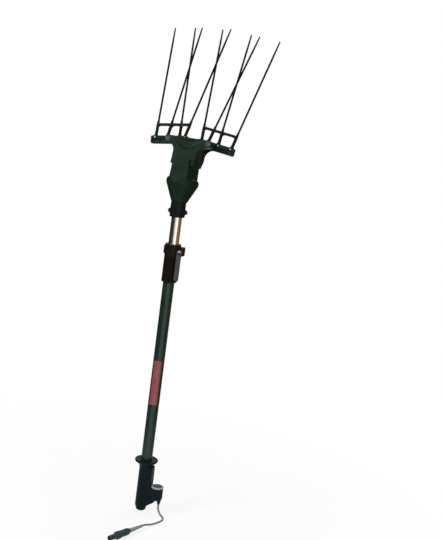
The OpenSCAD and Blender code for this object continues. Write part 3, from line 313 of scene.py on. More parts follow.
class Form:
    """A mesh in the making, in millimetres, placed by one matrix.

    Shapes are added as closed shells, which may overlap where they are moulded in one.
    """

    def __init__(self, at: Optional[Matrix] = None) -> None:
        """Start an empty mesh.

        Args:
            at: Matrix from the form's own millimetres to the object's millimetres.
        """
        self.bm = bmesh.new()
        self.at = at if at else Matrix.Identity(4)

    def lathe(self, profile: Sequence[Point2], at: Optional[Matrix] = None, sides: int = 64,
              looped: bool = False) -> "Form":
        """Add a turned shape about the local Z axis.

        Args:
            profile: Radius and height pairs, from end to end.
            at: Where the shape stands in the form.
            sides: Facets round the axis.
            looped: Whether the profile closes on itself, as a tube's does.

        Returns:
            The form.
        """
        rings = [level_ring(max(radius, AXIS_MM), height, sides) for radius, height in profile]
        return self.loft(rings, at, looped)

    def loft(self, rings: Sequence[Sequence[Point3]], at: Optional[Matrix] = None,
             looped: bool = False) -> "Form":
        """Add a closed shape through rings of points, with flat ends unless it closes on itself.

        Args:
            rings: Rings of equal length, from end to end.
            at: Where the shape stands in the form.
            looped: Whether the last ring joins the first.

        Returns:
            The form.
        """
        place = at if at else Matrix.Identity(4)
        made = [[self.bm.verts.new(place @ Vector(spot)) for spot in ring] for ring in rings]
        for low, high in zip(made, made[1:] + made[:1] if looped else made[1:]):
            for k in range(len(low)):
                nxt = (k + 1) % len(low)
                self.bm.faces.new((low[k], low[nxt], high[nxt], high[k]))
        if not looped:
            self.bm.faces.new(made[0])
            self.bm.faces.new(made[-1])
        return self

    def prism(self, outline: Sequence[Point2], low: float, high: float,
              at: Optional[Matrix] = None) -> "Form":
        """Add an outline in local X and Y, thickened along local Z.

        Args:
            outline: Corner points, in order.
            low: Lower end along Z.
            high: Upper end along Z.
            at: Where the shape stands in the form.

        Returns:
            The form.
        """
        return self.loft([[(x, y, z) for x, y in outline] for z in (low, high)], at)

    def sweep(self, route: Sequence[Vector], radius: float, sides: int) -> "Form":
        """Add a round wire along a route, with flat ends.

        Args:
            route: Points along the wire's middle.
            radius: Radius of the wire.
            sides: Facets round it.

        Returns:
            The form.
        """
        rings = []
        across = None
        for k, spot in enumerate(route):
            ahead = (route[min(k + 1, len(route) - 1)] - route[max(k - 1, 0)]).normalized()
            across = across - ahead * across.dot(ahead) if across else ahead.orthogonal()
            across.normalize()
            third = ahead.cross(across)
            rings.append([spot + radius * (x * across + y * third) for x, y in circle(sides)])
        return self.loft(rings)

    def block(self, low: Point3, high: Point3, at: Optional[Matrix] = None) -> "Form":
        """Add a box between two corners.

        Args:
            low: Lowest corner.
            high: Highest corner.
            at: Where the box stands in the form.

        Returns:
            The form.
        """
        outline = [(low[0], low[1]), (high[0], low[1]), (high[0], high[1]), (low[0], high[1])]
        return self.prism(outline, low[2], high[2], at)

    def build(self, name: str) -> bpy.types.Object:
        """Finish the mesh as an object in metres.

        Args:
            name: Name of the object.

        Returns:
            The new object, in the scene.
        """
        bmesh.ops.transform(self.bm, matrix=Matrix.Scale(MM, 4) @ self.at, verts=self.bm.verts)
        bmesh.ops.recalc_face_normals(self.bm, faces=self.bm.faces)
        mesh = bpy.data.meshes.new(name)
        self.bm.to_mesh(mesh)
        self.bm.free()
        return add_object(name, mesh)


def circle(count: int) -> list[Point2]:
    """Points round the unit circle, the first on +X."""
    turns = [2 * math.pi * k / count for k in range(count)]
    return [(math.cos(t), math.sin(t)) for t in turns]


def level_ring(radius: float, height: float, sides: int) -> list[Point3]:
    """Points of a level circle about the Z axis, the first towards +X."""
    return [(radius * x, radius * y, height) for x, y in circle(sides)]


def rod(radius: float, low: float, high: float) -> list[Point2]:
    """Profile of a plain rod between two heights, to turn."""
    return [(0, low), (radius, low), (radius, high), (0, high)]


def along_y(low: float = 0.0, x: float = 0.0, z: float = 0.0) -> Matrix:
    """Matrix that lays local Z along +Y, from a point on it."""
    return Matrix.Translation((x, low, z)) @ Matrix.Rotation(math.radians(-90), 4, "X")


def upright(y: float = 0.0) -> Matrix:
    """Matrix that stands an XY outline up in XZ, its thickness running along -Y from y."""
    return Matrix.Translation((0, y, 0)) @ Matrix.Rotation(math.radians(90), 4, "X")


def keep_modifiers(piece: bpy.types.Object) -> None:
    """Turn an object's modifiers into its mesh.

    Args:
        piece: Object whose modifiers are applied and removed.
    """
    graph = bpy.context.evaluated_depsgraph_get()
    graph.update()
    mesh = bpy.data.meshes.new_from_object(piece.evaluated_get(graph))
    piece.modifiers.clear()
    old = piece.data
    piece.data = mesh
    bpy.data.meshes.remove(old)


def soften(piece: bpy.types.Object, voxel_mm: float, rounds: int) -> None:
    """Fuse overlapping shells into one skin and round its corners, as a mould's fillets do.

    Args:
        piece: Object made of closed shells.
        voxel_mm: Size of the fusing grid.
        rounds: Smoothing passes, each rounding by about a voxel.
    """
    fuse = piece.modifiers.new("fuse", "REMESH")
    fuse.mode = "VOXEL"
    fuse.voxel_size = voxel_mm * MM
    round_off = piece.modifiers.new("round", "SMOOTH")
    round_off.factor = 0.5
    round_off.iterations = rounds
    keep_modifiers(piece)


def carve(piece: bpy.types.Object, cutter: bpy.types.Object) -> None:
    """Cut one object out of another and remove the cutter.

    Args:
        piece: Object that is cut.
        cutter: Closed shape to take away.
    """
    tool = piece.modifiers.new("carve", "BOOLEAN")
    tool.operation = "DIFFERENCE"
    tool.solver = "EXACT"
    tool.object = cutter
    keep_modifiers(piece)
    discard(cutter)


def halve(piece: bpy.types.Object, name: str, at: Matrix, gap_mm: float, behind: bool) -> bpy.types.Object:
    """Copy the half of an object on one side of a parting plane, with the points its cuts split welded.

    Args:
        piece: Whole object.
        name: Name of the half.
        at: Frame, in millimetres, whose Y axis is square to the parting plane.
        gap_mm: Width of the joint line.
        behind: Whether the half towards +Y is kept.

    Returns:
        The new half.
    """
    side = 1 if behind else -1
    normal = (at.to_3x3() @ Vector((0, 1, 0))).normalized() * side
    point = (at @ Vector((0, side * gap_mm / 2, 0))) * MM
    bm = bmesh.new()
    bm.from_mesh(piece.data)
    bmesh.ops.remove_doubles(bm, verts=bm.verts, dist=WELD_MM * MM)
    bmesh.ops.bisect_plane(
        bm, geom=bm.verts[:] + bm.edges[:] + bm.faces[:], plane_co=point, plane_no=-normal, clear_outer=True
    )
    rim = [edge for edge in bm.edges if edge.is_boundary]
    bmesh.ops.holes_fill(bm, edges=rim, sides=0)
    mesh = bpy.data.meshes.new(name)
    bm.to_mesh(mesh)
    bm.free()
    return add_object(name, mesh)


def split_shell(whole: bpy.types.Object, stem: str, at: Matrix, gap_mm: float, finish: Finish,
                body: str) -> None:
    """Part a moulded shell into its dressed front and rear halves, and discard the whole.

    Args:
        whole: Shell in one.
        stem: Start of the names of its pieces and of the CAD nodes they stand for.
        at: Frame, in millimetres, whose Y axis is square to the parting plane.
        gap_mm: Width of the joint line.
        finish: Material of both halves.
        body: CAD body that they ride on.
    """
    for end, behind in (("front", False), ("rear", True)):
        half = halve(whole, f"{stem}_{end}_moulded", at, gap_mm, behind)
        dress(half, finish, body, [f"{stem}_{end}"], smooth_deg=MOULDED_DEG)
    discard(whole)


def discard(piece: bpy.types.Object) -> None:
    """Remove a helper object and its mesh.

    Args:
        piece: Object that isn't needed any more.
    """
    mesh = piece.data
    bpy.data.objects.remove(piece)
    bpy.data.meshes.remove(mesh)


def round_edges(piece: bpy.types.Object, width_mm: float) -> None:
    """Round an object's sharp edges by a modifier.

    Args:
        piece: Object that gets the modifier.
        width_mm: Width of the rounding.
    """
    edge = piece.modifiers.new("edge", "BEVEL")
    edge.width = width_mm * MM
    edge.segments = 2
    edge.limit_method = "ANGLE"
    edge.angle_limit = math.radians(EDGE_DEG)


def dress(piece: bpy.types.Object, finish: Finish, body: str, replaces: Sequence[str] = (),
          bevel_mm: float = 0.0, smooth_deg: float = TURNED_DEG) -> bpy.types.Object:
    """Give a new piece its finish, edges and place on a body.

    Args:
        piece: Object in place.
        finish: Its material.
        body: CAD body that it rides on, or no name for a piece that bends between two.
        replaces: CAD nodes that it stands for.
        bevel_mm: Width of its edge rounding, or 0 for none.
        smooth_deg: Steepest angle that is still shaded smooth.

    Returns:
        The piece.
    """
    if bevel_mm:
        # Points that a cut has split would clamp the rounding to nothing
        piece.modifiers.new("weld", "WELD").merge_threshold = WELD_MM * MM
        round_edges(piece, bevel_mm)
        keep_modifiers(piece)
    if piece.type == "MESH":
        piece.data.shade_smooth()
        piece.data.set_sharp_from_angle(angle=math.radians(smooth_deg))
    finish.put_on(piece)
    if body:
        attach(piece, body)
    if replaces:
        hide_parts(*replaces)
    LOG.info("%s on %s", piece.name, body or "two bodies")
    return piece


def dress_node(node: str, finish: Finish, bevel_mm: float = 0.0) -> None:
    """Give a CAD node its finish and, by a modifier, rounded edges.

    Args:
        node: Name of the CAD node.
        finish: Its material.
        bevel_mm: Width of its edge rounding, or 0 for none.
    """
    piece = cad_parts[node]
    finish.put_on(piece)
    if bevel_mm:
        round_edges(piece, bevel_mm)
    LOG.info("%s kept from the frame", node)


def arc(centre: Point2, radius: float, start: float, end: float, steps: int) -> list[Point2]:
    """Points on a circular arc.

    Args:
        centre: Centre of the circle.
        radius: Radius.
        start: First angle, in degrees.
        end: Last angle, in degrees.
        steps: Number of stretches.

    Returns:
        The points, both ends included.
    """
    turns = [math.radians(start + (end - start) * k / steps) for k in range(steps + 1)]
    return [(centre[0] + radius * math.cos(t), centre[1] + radius * math.sin(t)) for t in turns]


def smooth_route(points: Sequence[Point3], steps: int = 8) -> list[Vector]:
    """Run one smooth curve through a cord's points.

    Args:
        points: Points that the cord passes.
        steps: Stretches between neighbouring points.

    Returns:
        Points along the curve.
    """
    route = [Vector(p) for p in points]
    ends = [2 * route[0] - route[1]] + route + [2 * route[-1] - route[-2]]
    curve = []
    for a, b, c, d in zip(ends, ends[1:], ends[2:], ends[3:]):
        for k in range(steps):
            t = k / steps
            curve.append(0.5 * (2 * b + (c - a) * t + (2 * a - 5 * b + 4 * c - d) * t ** 2
                                + (3 * b - a - 3 * c + d) * t ** 3))
    return curve + [route[-1]]


# Camera and studio


@dataclass
class PhotoCamera:
    """The photograph's camera, fitted to the object's own edges."""

    image_px: tuple[int, int] = (443, 540)
    focal_px: float = 1007.0
    sensor_mm: float = 36.0
    azimuth_deg: float = 20.74
    elevation_deg: float = 12.62
    roll_deg: float = 7.12
    distance: float = 3.08
    target: Point3 = (0.0, 0.0, 0.7)
    target_px: tuple[float, float] = (167.02, 295.77)

    def place(self) -> None:
        """Make the camera and turn it so that the target lands on its pixel."""
        turn, rise, roll = (math.radians(a) for a in (self.azimuth_deg, self.elevation_deg, self.roll_deg))
        back = Vector((math.sin(turn) * math.cos(rise), -math.cos(turn) * math.cos(rise), math.sin(rise)))
        right = Vector((math.cos(turn), math.sin(turn), 0))
        up = back.cross(right)
        tilted = right * math.cos(roll) + up * math.sin(roll)
        risen = up * math.cos(roll) - right * math.sin(roll)
        across = self.image_px[0] / 2 - self.target_px[0]
        above = self.target_px[1] - self.image_px[1] / 2
        ahead = (-back * self.focal_px + tilted * across + risen * above).normalized()
        side = (tilted - ahead * tilted.dot(ahead)).normalized()
        top = side.cross(ahead)
        data = bpy.data.cameras.new("photo_camera")
        data.sensor_width = self.sensor_mm
        data.lens = self.sensor_mm * self.focal_px / max(self.image_px)
        camera = add_object("photo_camera", data)
        spot = Vector(self.target) + back * self.distance
        axes = Matrix((side, top, -ahead)).transposed().to_4x4()
        camera.matrix_world = Matrix.Translation(spot) @ axes
        bpy.context.scene.camera = camera


@dataclass
class Studio:
    """White floor and background, a large soft key from the left, a weak fill and cards for the metal."""

    floor_half: float = 15.0
    floor_white: str = "f4f4f2"
    lamps: Sequence[tuple[str, Point3, float, float]] = (
        ("key", (-1.9, -2.3, 2.5), 1.3, 70.0),
        ("fill", (2.4, -2.0, 1.2), 1.6, 14.0),
        ("top", (0.3, 1.5, 2.9), 1.2, 25.0),
    )
    sky: str = "f2f5f2"
    sky_light: float = 0.5
    fade_from: float = 0.35
    fade_to: float = 1.1
    near_white: float = 0.82
    card_gap: float = 0.45
    card_front: Point2 = (1.0, 0.6)
    card_back: float = 1.5
    card_top: float = 1.5
    card_colours: Sequence[str] = ("2b2a20", "86683f")
    view_deg: float = PhotoCamera.azimuth_deg
    aim: Point3 = (0.0, 0.05, 0.8)

    def build(self) -> None:
        """Make the world, the floor, the cards and the lamps."""
        bpy.context.scene.view_settings.view_transform = "Standard"
        self._world()
        self._floor()
        for side in (-1, 1):
            self._card(side)
        for lamp in self.lamps:
            self._lamp(*lamp)

    def _white_seen(self, tree: bpy.types.NodeTree) -> bpy.types.NodeSocket:
        """Pick out the rays that see white: the camera's, mirrored and passed ones.

        Args:
            tree: Node tree of the world or the floor.

        Returns:
            Socket that gives 1 for such a ray and 0 for any other.
        """
        path = add_node(tree, "ShaderNodeLightPath").outputs
        seen = path["Is Camera Ray"]
        for kind in ("Is Glossy Ray", "Is Transmission Ray"):
            either = add_node(tree, "ShaderNodeMath", {"operation": "MAXIMUM"}, {0: seen, 1: path[kind]})
            seen = either.outputs["Value"]
        return seen

    def _world(self) -> None:
        """Light the scene softly and show white behind it."""
        world = bpy.data.worlds.new("studio")
        bpy.context.scene.world = world
        tree = bare_tree(world)
        light = add_node(tree, "ShaderNodeBackground",
                         {"Color": linear(self.sky), "Strength": self.sky_light})
        white = add_node(tree, "ShaderNodeBackground", {"Color": linear("ffffff"), "Strength": 1.0})
        sources = {0: self._white_seen(tree), 1: light.outputs["Background"], 2: white.outputs["Background"]}
        mixed = add_node(tree, "ShaderNodeMixShader", {}, sources)
        add_node(tree, "ShaderNodeOutputWorld", {}, {"Surface": mixed.outputs["Shader"]})

    def _floor(self) -> None:
        """Lay a pale floor that keeps a faint shadow near the object and fades to white away from it."""
        half = self.floor_half
        mesh = bpy.data.meshes.new("floor")
        corners = [(-half, -half, 0), (half, -half, 0), (half, half, 0), (-half, half, 0)]
        mesh.from_pydata(corners, [], [(0, 1, 2, 3)])
        floor = add_object("floor", mesh)
        made = bpy.data.materials.new("painted_floor")
        tree = bare_tree(made)
        paint = add_node(tree, "ShaderNodeBsdfDiffuse", {"Color": linear(self.floor_white)})
        white = add_node(tree, "ShaderNodeEmission", {"Color": linear("ffffff"), "Strength": 1.0})
        place = add_node(tree, "ShaderNodeTexCoord").outputs["Object"]
        away = add_node(tree, "ShaderNodeVectorMath", {"operation": "LENGTH"}, {0: place}).outputs["Value"]
        span = {"From Min": self.fade_from, "From Max": self.fade_to, "To Min": self.near_white}
        fade = add_node(tree, "ShaderNodeMapRange", span, {"Value": away})
        share = add_node(tree, "ShaderNodeMath", {"operation": "MULTIPLY"},
                         {0: self._white_seen(tree), 1: fade.outputs["Result"]})
        sources = {0: share.outputs["Value"], 1: paint.outputs["BSDF"], 2: white.outputs["Emission"]}
        mixed = add_node(tree, "ShaderNodeMixShader", {}, sources)
        add_node(tree, "ShaderNodeOutputMaterial", {}, {"Surface": mixed.outputs["Shader"]})
        mesh.materials.append(made)

    def _card(self, side: int) -> None:
        """Stand a card beside the object that only mirrored rays see, which darkens a tube's edges.

        Args:
            side: -1 for the left card and 1 for the right one.
        """
        turn = math.radians(self.view_deg)
        ahead = Vector((math.sin(turn), -math.cos(turn), 0))
        across = Vector((math.cos(turn), math.sin(turn), 0)) * side * self.card_gap
        foot = [across + ahead * self.card_front[side > 0], across - ahead * self.card_back]
        up = Vector((0, 0, self.card_top))
        mesh = bpy.data.meshes.new("card")
        mesh.from_pydata([foot[0], foot[1], foot[1] + up, foot[0] + up], [], [(0, 1, 2, 3)])
        card = add_object("card_left" if side < 0 else "card_right", mesh)
        card.visible_camera = card.visible_diffuse = card.visible_shadow = False
        made = bpy.data.materials.new("felt_card")
        tree = bare_tree(made)
        felt = add_node(tree, "ShaderNodeBsdfDiffuse", {"Color": linear(self.card_colours[side > 0])})
        add_node(tree, "ShaderNodeOutputMaterial", {}, {"Surface": felt.outputs["BSDF"]})
        mesh.materials.append(made)

    def _lamp(self, name: str, spot: Point3, size: float, watts: float) -> None:
        """Hang one square soft lamp that looks at the object.

        Args:
            name: Name of the lamp.
            spot: Where it hangs, in metres.
            size: Edge length, in metres.
            watts: Power.
        """
        data = bpy.data.lights.new(name, "AREA")
        data.size = size
        data.energy = watts
        lamp = add_object(name, data)
        lamp.location = spot
        lamp.rotation_euler = (Vector(self.aim) - Vector(spot)).to_track_quat("-Z", "Y").to_euler()


# Sub-assemblies


@dataclass
class Coil:
    """A wound lead or spring about an upright axis, between the pole and another body."""

    name: str
    finish: Finish
    node: str
    far_body: str
    x: float
    coil_r: float
    wire_r: float
    foot: float
    top: float
    turns: int
    tail: float = 0.0
    tail_steps: int = 6
    steps: int = 20
    sides: int = 12

    def build(self) -> None:
        """Sweep the wire."""
        route = []
        count = self.turns * self.steps
        for k in range(count + 1):
            turn = 2 * math.pi * k / self.steps
            reach = self.coil_r
            if self.tail:
                reach *= min(1.0, k / self.steps, self.turns - k / self.steps)
            route.append(Vector((self.x + reach * math.cos(turn), reach * math.sin(turn),
                                 self.foot + (self.top - self.foot) * k / count)))
        if self.tail:
            rises = [self.tail * k / self.tail_steps for k in range(self.tail_steps)]
            low = [Vector((self.x, 0, self.foot - self.tail + rise)) for rise in rises]
            high = [Vector((self.x, 0, self.top + self.tail - rise)) for rise in reversed(rises)]
            route = low + route + high
        wire = Form().sweep(route, self.wire_r, self.sides).build(self.name)
        piece = dress(wire, self.finish, "", [self.node])
        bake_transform(piece)


@dataclass
class SupplyCord:
    """Short supply cord with its gland, boot, plug and turning ring. Route in metres, as in the part."""

    diameter: float = 0.006
    route: Sequence[Point3] = (
        (0.058, 0, 0.032), (0.058, 0, 0.028), (0.0585, -0.0005, 0.0215), (0.0605, -0.002, 0.0155),
        (0.064, -0.0045, 0.0105), (0.068, -0.0075, 0.0065), (0.073, -0.011, 0.004), (0.078, -0.015, 0.003),
        (0.0855, -0.023, 0.003), (0.0905, -0.033, 0.003), (0.092, -0.043, 0.003), (0.09, -0.055, 0.003),
        (0.083, -0.074, 0.003), (0.076, -0.093, 0.005), (0.071, -0.107, 0.0085), (0.0665, -0.119, 0.0115),
        (0.0645, -0.1245, 0.012), (0.0625, -0.13, 0.012),
    )
    heading_deg: float = -110.0
    inside_len: int = 60
    inside_step: int = 10
    boot_len: float = 58.0
    boot_start: float = 0.05
    boot_edge: Point2 = (0.5, 0.8)
    boot_tail: float = 2.0
    boot_lip: float = 6.0
    boot_tail_r: float = 4.2
    boot_head_r: float = 6.5
    boot_ribs: int = 7
    rib_shape: Sequence[Point2] = ((0.0, 0.0), (0.6, 0.0), (0.68, 0.7), (0.92, 0.7))
    body_len: float = 40.0
    body_r: float = 10.5
    body_edge: Point2 = (0.8, 1.0)
    shoulder_step: float = 1.0
    shoulder: Point2 = (6.0, 9.0)
    band_from: float = 14.0
    band_step: float = 7.0
    band_len: float = 3.0
    band_slope: float = 0.6
    bands: int = 3
    groove: float = 0.9
    ring_len: float = 14.6
    ring_gap: float = 0.4
    ring_r: float = 12.0
    ring_bore_r: float = 8.65
    ring_edge: float = 1.0
    flutes: int = 18
    flute_steps: int = 8
    chamfer: float = 0.92
    neck_r: float = 8.6
    nose_len: float = 28.0
    nose_r: float = 8.0
    nose_edge: Point2 = (0.7, 0.8)
    socket_r: float = 6.5
    socket_floor: float = 4.0

    def plug_frame(self) -> Matrix:
        """Stand a frame at the cord's far end, its Z axis along the plug.

        Returns:
            Matrix in millimetres.
        """
        spot = Vector(self.route[-1]) / MM
        turn = Matrix.Rotation(math.radians(self.heading_deg), 4, "Z")
        return Matrix.Translation(spot) @ turn @ Matrix.Rotation(math.radians(90), 4, "Y")

    def build(self) -> None:
        neck = self.boot_len + self.body_len
        nose = neck + self.ring_len + 2 * self.ring_gap
        pieces = [self._boot(), self._body(neck, nose), self._ring(neck + self.ring_gap)]
        dress_node("plug_contacts", TURNED_BRASS)
        dress_node("cord_gland", BLACK_NYLON)
        depths = range(self.inside_step, self.inside_len + 1, self.inside_step)
        inside = [self.plug_frame() @ Vector((0, 0, depth)) * MM for depth in depths]
        curve = smooth_route(self.route) + inside
        for spot in curve:
            spot.z = max(spot.z, self.diameter / 2)
        data = bpy.data.curves.new("supply_cord_jacket", "CURVE")
        data.dimensions = "3D"
        data.bevel_depth = self.diameter / 2
        data.bevel_resolution = 5
        data.use_fill_caps = True
        line = data.splines.new("POLY")
        line.points.add(len(curve) - 1)
        for point, spot in zip(line.points, curve):
            point.co = (*spot, 1.0)
        cord = add_object("supply_cord_jacket", data)
        dress(cord, RUBBER_JACKET, "pole", ["supply_cord"])

    def _boot(self) -> bpy.types.Object:
        """Turn the taper with shallow ribs where the cord enters the plug.

        Returns:
            The piece.
        """
        neck = self.boot_len - self.boot_lip
        start, (inward, rise) = self.boot_start, self.boot_edge
        profile: list[Point2] = [(0, start), (self.boot_tail_r - inward, start), (self.boot_tail_r, rise)]
        for k in range(self.boot_ribs):
            for share, dip in self.rib_shape:
                along = (k + share) / self.boot_ribs
                radius = self.boot_tail_r + (self.boot_head_r - self.boot_tail_r) * along - dip
                profile.append((radius, self.boot_tail + along * (neck - self.boot_tail)))
        profile += [(self.boot_head_r, neck), (self.boot_head_r, self.boot_len), (0, self.boot_len)]
        return dress(Form(self.plug_frame()).lathe(profile, sides=40).build("plug_boot_ribbed"), RUBBER_BOOT,
                     "pole", ["plug_boot"])

    def _body(self, neck: float, nose: float) -> bpy.types.Object:
        """Turn the plug's body with grip bands, neck and hollow nose.

        Args:
            neck: Where the ring's neck begins along the plug.
            nose: Where the nose begins.

        Returns:
            The piece.
        """
        tip = nose + self.nose_len
        foot, step, slope = self.boot_len, self.shoulder_step, self.band_slope
        profile: list[Point2] = [(0, foot), (self.boot_head_r + step, foot),
                                 (self.body_r - step, foot + self.shoulder[0]),
                                 (self.body_r, foot + self.shoulder[1])]
        inner = self.body_r - self.groove
        for k in range(self.bands):
            low = foot + self.band_from + self.band_step * k
            high = low + self.band_len
            profile += [(self.body_r, low), (inner, low + slope), (inner, high - slope), (self.body_r, high)]
        floor = nose + self.socket_floor
        profile += [(self.body_r, neck - self.body_edge[1]), (self.body_r - self.body_edge[0], neck),
                    (self.neck_r, neck), (self.neck_r, nose), (self.nose_r, nose),
                    (self.nose_r, tip - self.nose_edge[1]), (self.nose_r - self.nose_edge[0], tip),
                    (self.socket_r, tip), (self.socket_r, floor), (0, floor)]
        return dress(Form(self.plug_frame()).lathe(profile, sides=56).build("plug_body_moulded"), SLATE_NYLON,
                     "pole", ["plug_body"])

    def _ring(self, foot: float) -> bpy.types.Object:
        """Make the fluted ring that turns on the plug's neck.

        Args:
            foot: Where the ring begins along the plug.

        Returns:
            The piece.
        """
        turns = self.flute_steps * self.flutes
        outline = []
        for k, (x, y) in enumerate(circle(turns)):
            wave = math.cos(2 * math.pi * k / turns * self.flutes)
            radius = self.ring_r - self.groove * max(0.0, wave) ** 2
            outline.append((radius * x, radius * y))
        top, edge = self.ring_len, self.ring_edge
        levels = [(self.chamfer, 0.0), (1.0, edge), (1.0, top - edge), (self.chamfer, top)]
        rings = [[(x * share, y * share, foot + height) for x, y in outline] for share, height in levels]
        rings += [level_ring(self.ring_bore_r, foot + height, turns) for height in (top, 0.0)]
        return dress(Form(self.plug_frame()).loft(rings, looped=True).build("plug_ring_knurled"), SLATE_NYLON,
                     "plug_ring", ["plug_ring"])


@dataclass
class Pole:
    """Painted lower tube with its label, bare upper tube and end cap. Millimetres."""

    outer_r: float = 17.5
    outer_bore_r: float = 16.3
    outer_foot: float = 14.0
    outer_top: float = 850.0
    inner_r: float = 16.0
    inner_bore_r: float = 14.5
    inner_foot: float = 150.0
    inner_top: float = 979.0
    cap_r: float = 16.5
    cap_foot_r: float = 10.0
    cap_round: float = 9.0
    cap_step: float = 0.6
    cap_groove: Point3 = (2.0, 1.5, 0.5)
    cap_top: float = 30.0
    label_foot: float = 354.0
    label_top: float = 496.0
    label_face_deg: float = -76.0
    label_span_deg: float = 85.0
    label_r: float = 17.55
    label_t: float = 0.3
    label_steps: int = 28
    lip: float = 0.3
    plug_gap: float = 0.1

    def build(self) -> None:
        """Make the tubes, the cap and the label."""
        dress(self._tube("painted_tube", self.outer_r, self.outer_bore_r, self.outer_foot, self.outer_top),
              POWDER_TUBE, "pole", ["outer_tube"])
        dress(self._tube("bare_tube", self.inner_r, self.inner_bore_r, self.inner_foot, self.inner_top),
              DRAWN_ALUMINIUM, "head", ["inner_tube"])
        self._cap()
        self._label()
        dress_node("slide_bush", WHITE_ACETAL)
        dress_node("handle_lead", RUBBER_JACKET)
        Coil("coiled_lead_wound", RUBBER_JACKET, "coiled_lead", "head", x=0.0, coil_r=8.5, wire_r=2.4,
             foot=76.55, top=939.0, turns=36, tail=14.0).build()

    def _tube(self, name: str, radius: float, bore: float, foot: float, top: float) -> bpy.types.Object:
        """Turn a tube with slightly broken edges.

        Args:
            name: Name of the piece.
            radius: Outer radius.
            bore: Inner radius.
            foot: Lower end.
            top: Upper end.

        Returns:
            The object.
        """
        lip = self.lip
        profile = [(bore, foot), (radius - lip, foot), (radius, foot + lip), (radius, top - lip),
                   (radius - lip, top), (bore, top)]
        return Form().lathe(profile, sides=96, looped=True).build(name)

    def _cap(self) -> None:
        """Turn the rounded foot cap with a moulded step under the tube."""
        spread = self.cap_r - self.cap_foot_r
        quarter = arc((0, 0), 1, 0, 90, 10)
        bulge = [(self.cap_foot_r + spread * y, self.cap_round * (1 - x)) for x, y in quarter]
        rim, waist, plug = self.outer_foot, self.cap_r - self.cap_step, self.outer_bore_r - self.plug_gap
        edge, low, high = (rim - drop for drop in self.cap_groove)
        profile = [(0, 0), *bulge, (self.cap_r, edge), (waist, low), (waist, high), (plug, rim),
                   (plug, self.cap_top), (0, self.cap_top)]
        dress(Form().lathe(profile, sides=72).build("end_cap_rounded"), BLACK_NYLON, "pole", ["end_cap"])

    def _label(self) -> None:
        """Wrap a plain film part of the way round the tube."""
        steps = self.label_steps
        start = self.label_face_deg - self.label_span_deg / 2
        turns = [math.radians(start + self.label_span_deg * k / steps) for k in range(steps + 1)]
        under, over = self.label_r, self.label_r + self.label_t
        low, high = self.label_foot, self.label_top
        corners = ((under, low), (over, low), (over, high), (under, high))
        rings = [[(r * math.cos(t), r * math.sin(t), height) for r, height in corners] for t in turns]
        dress(Form().loft(rings).build("label_film"), RED_VINYL, "pole", ["label"])


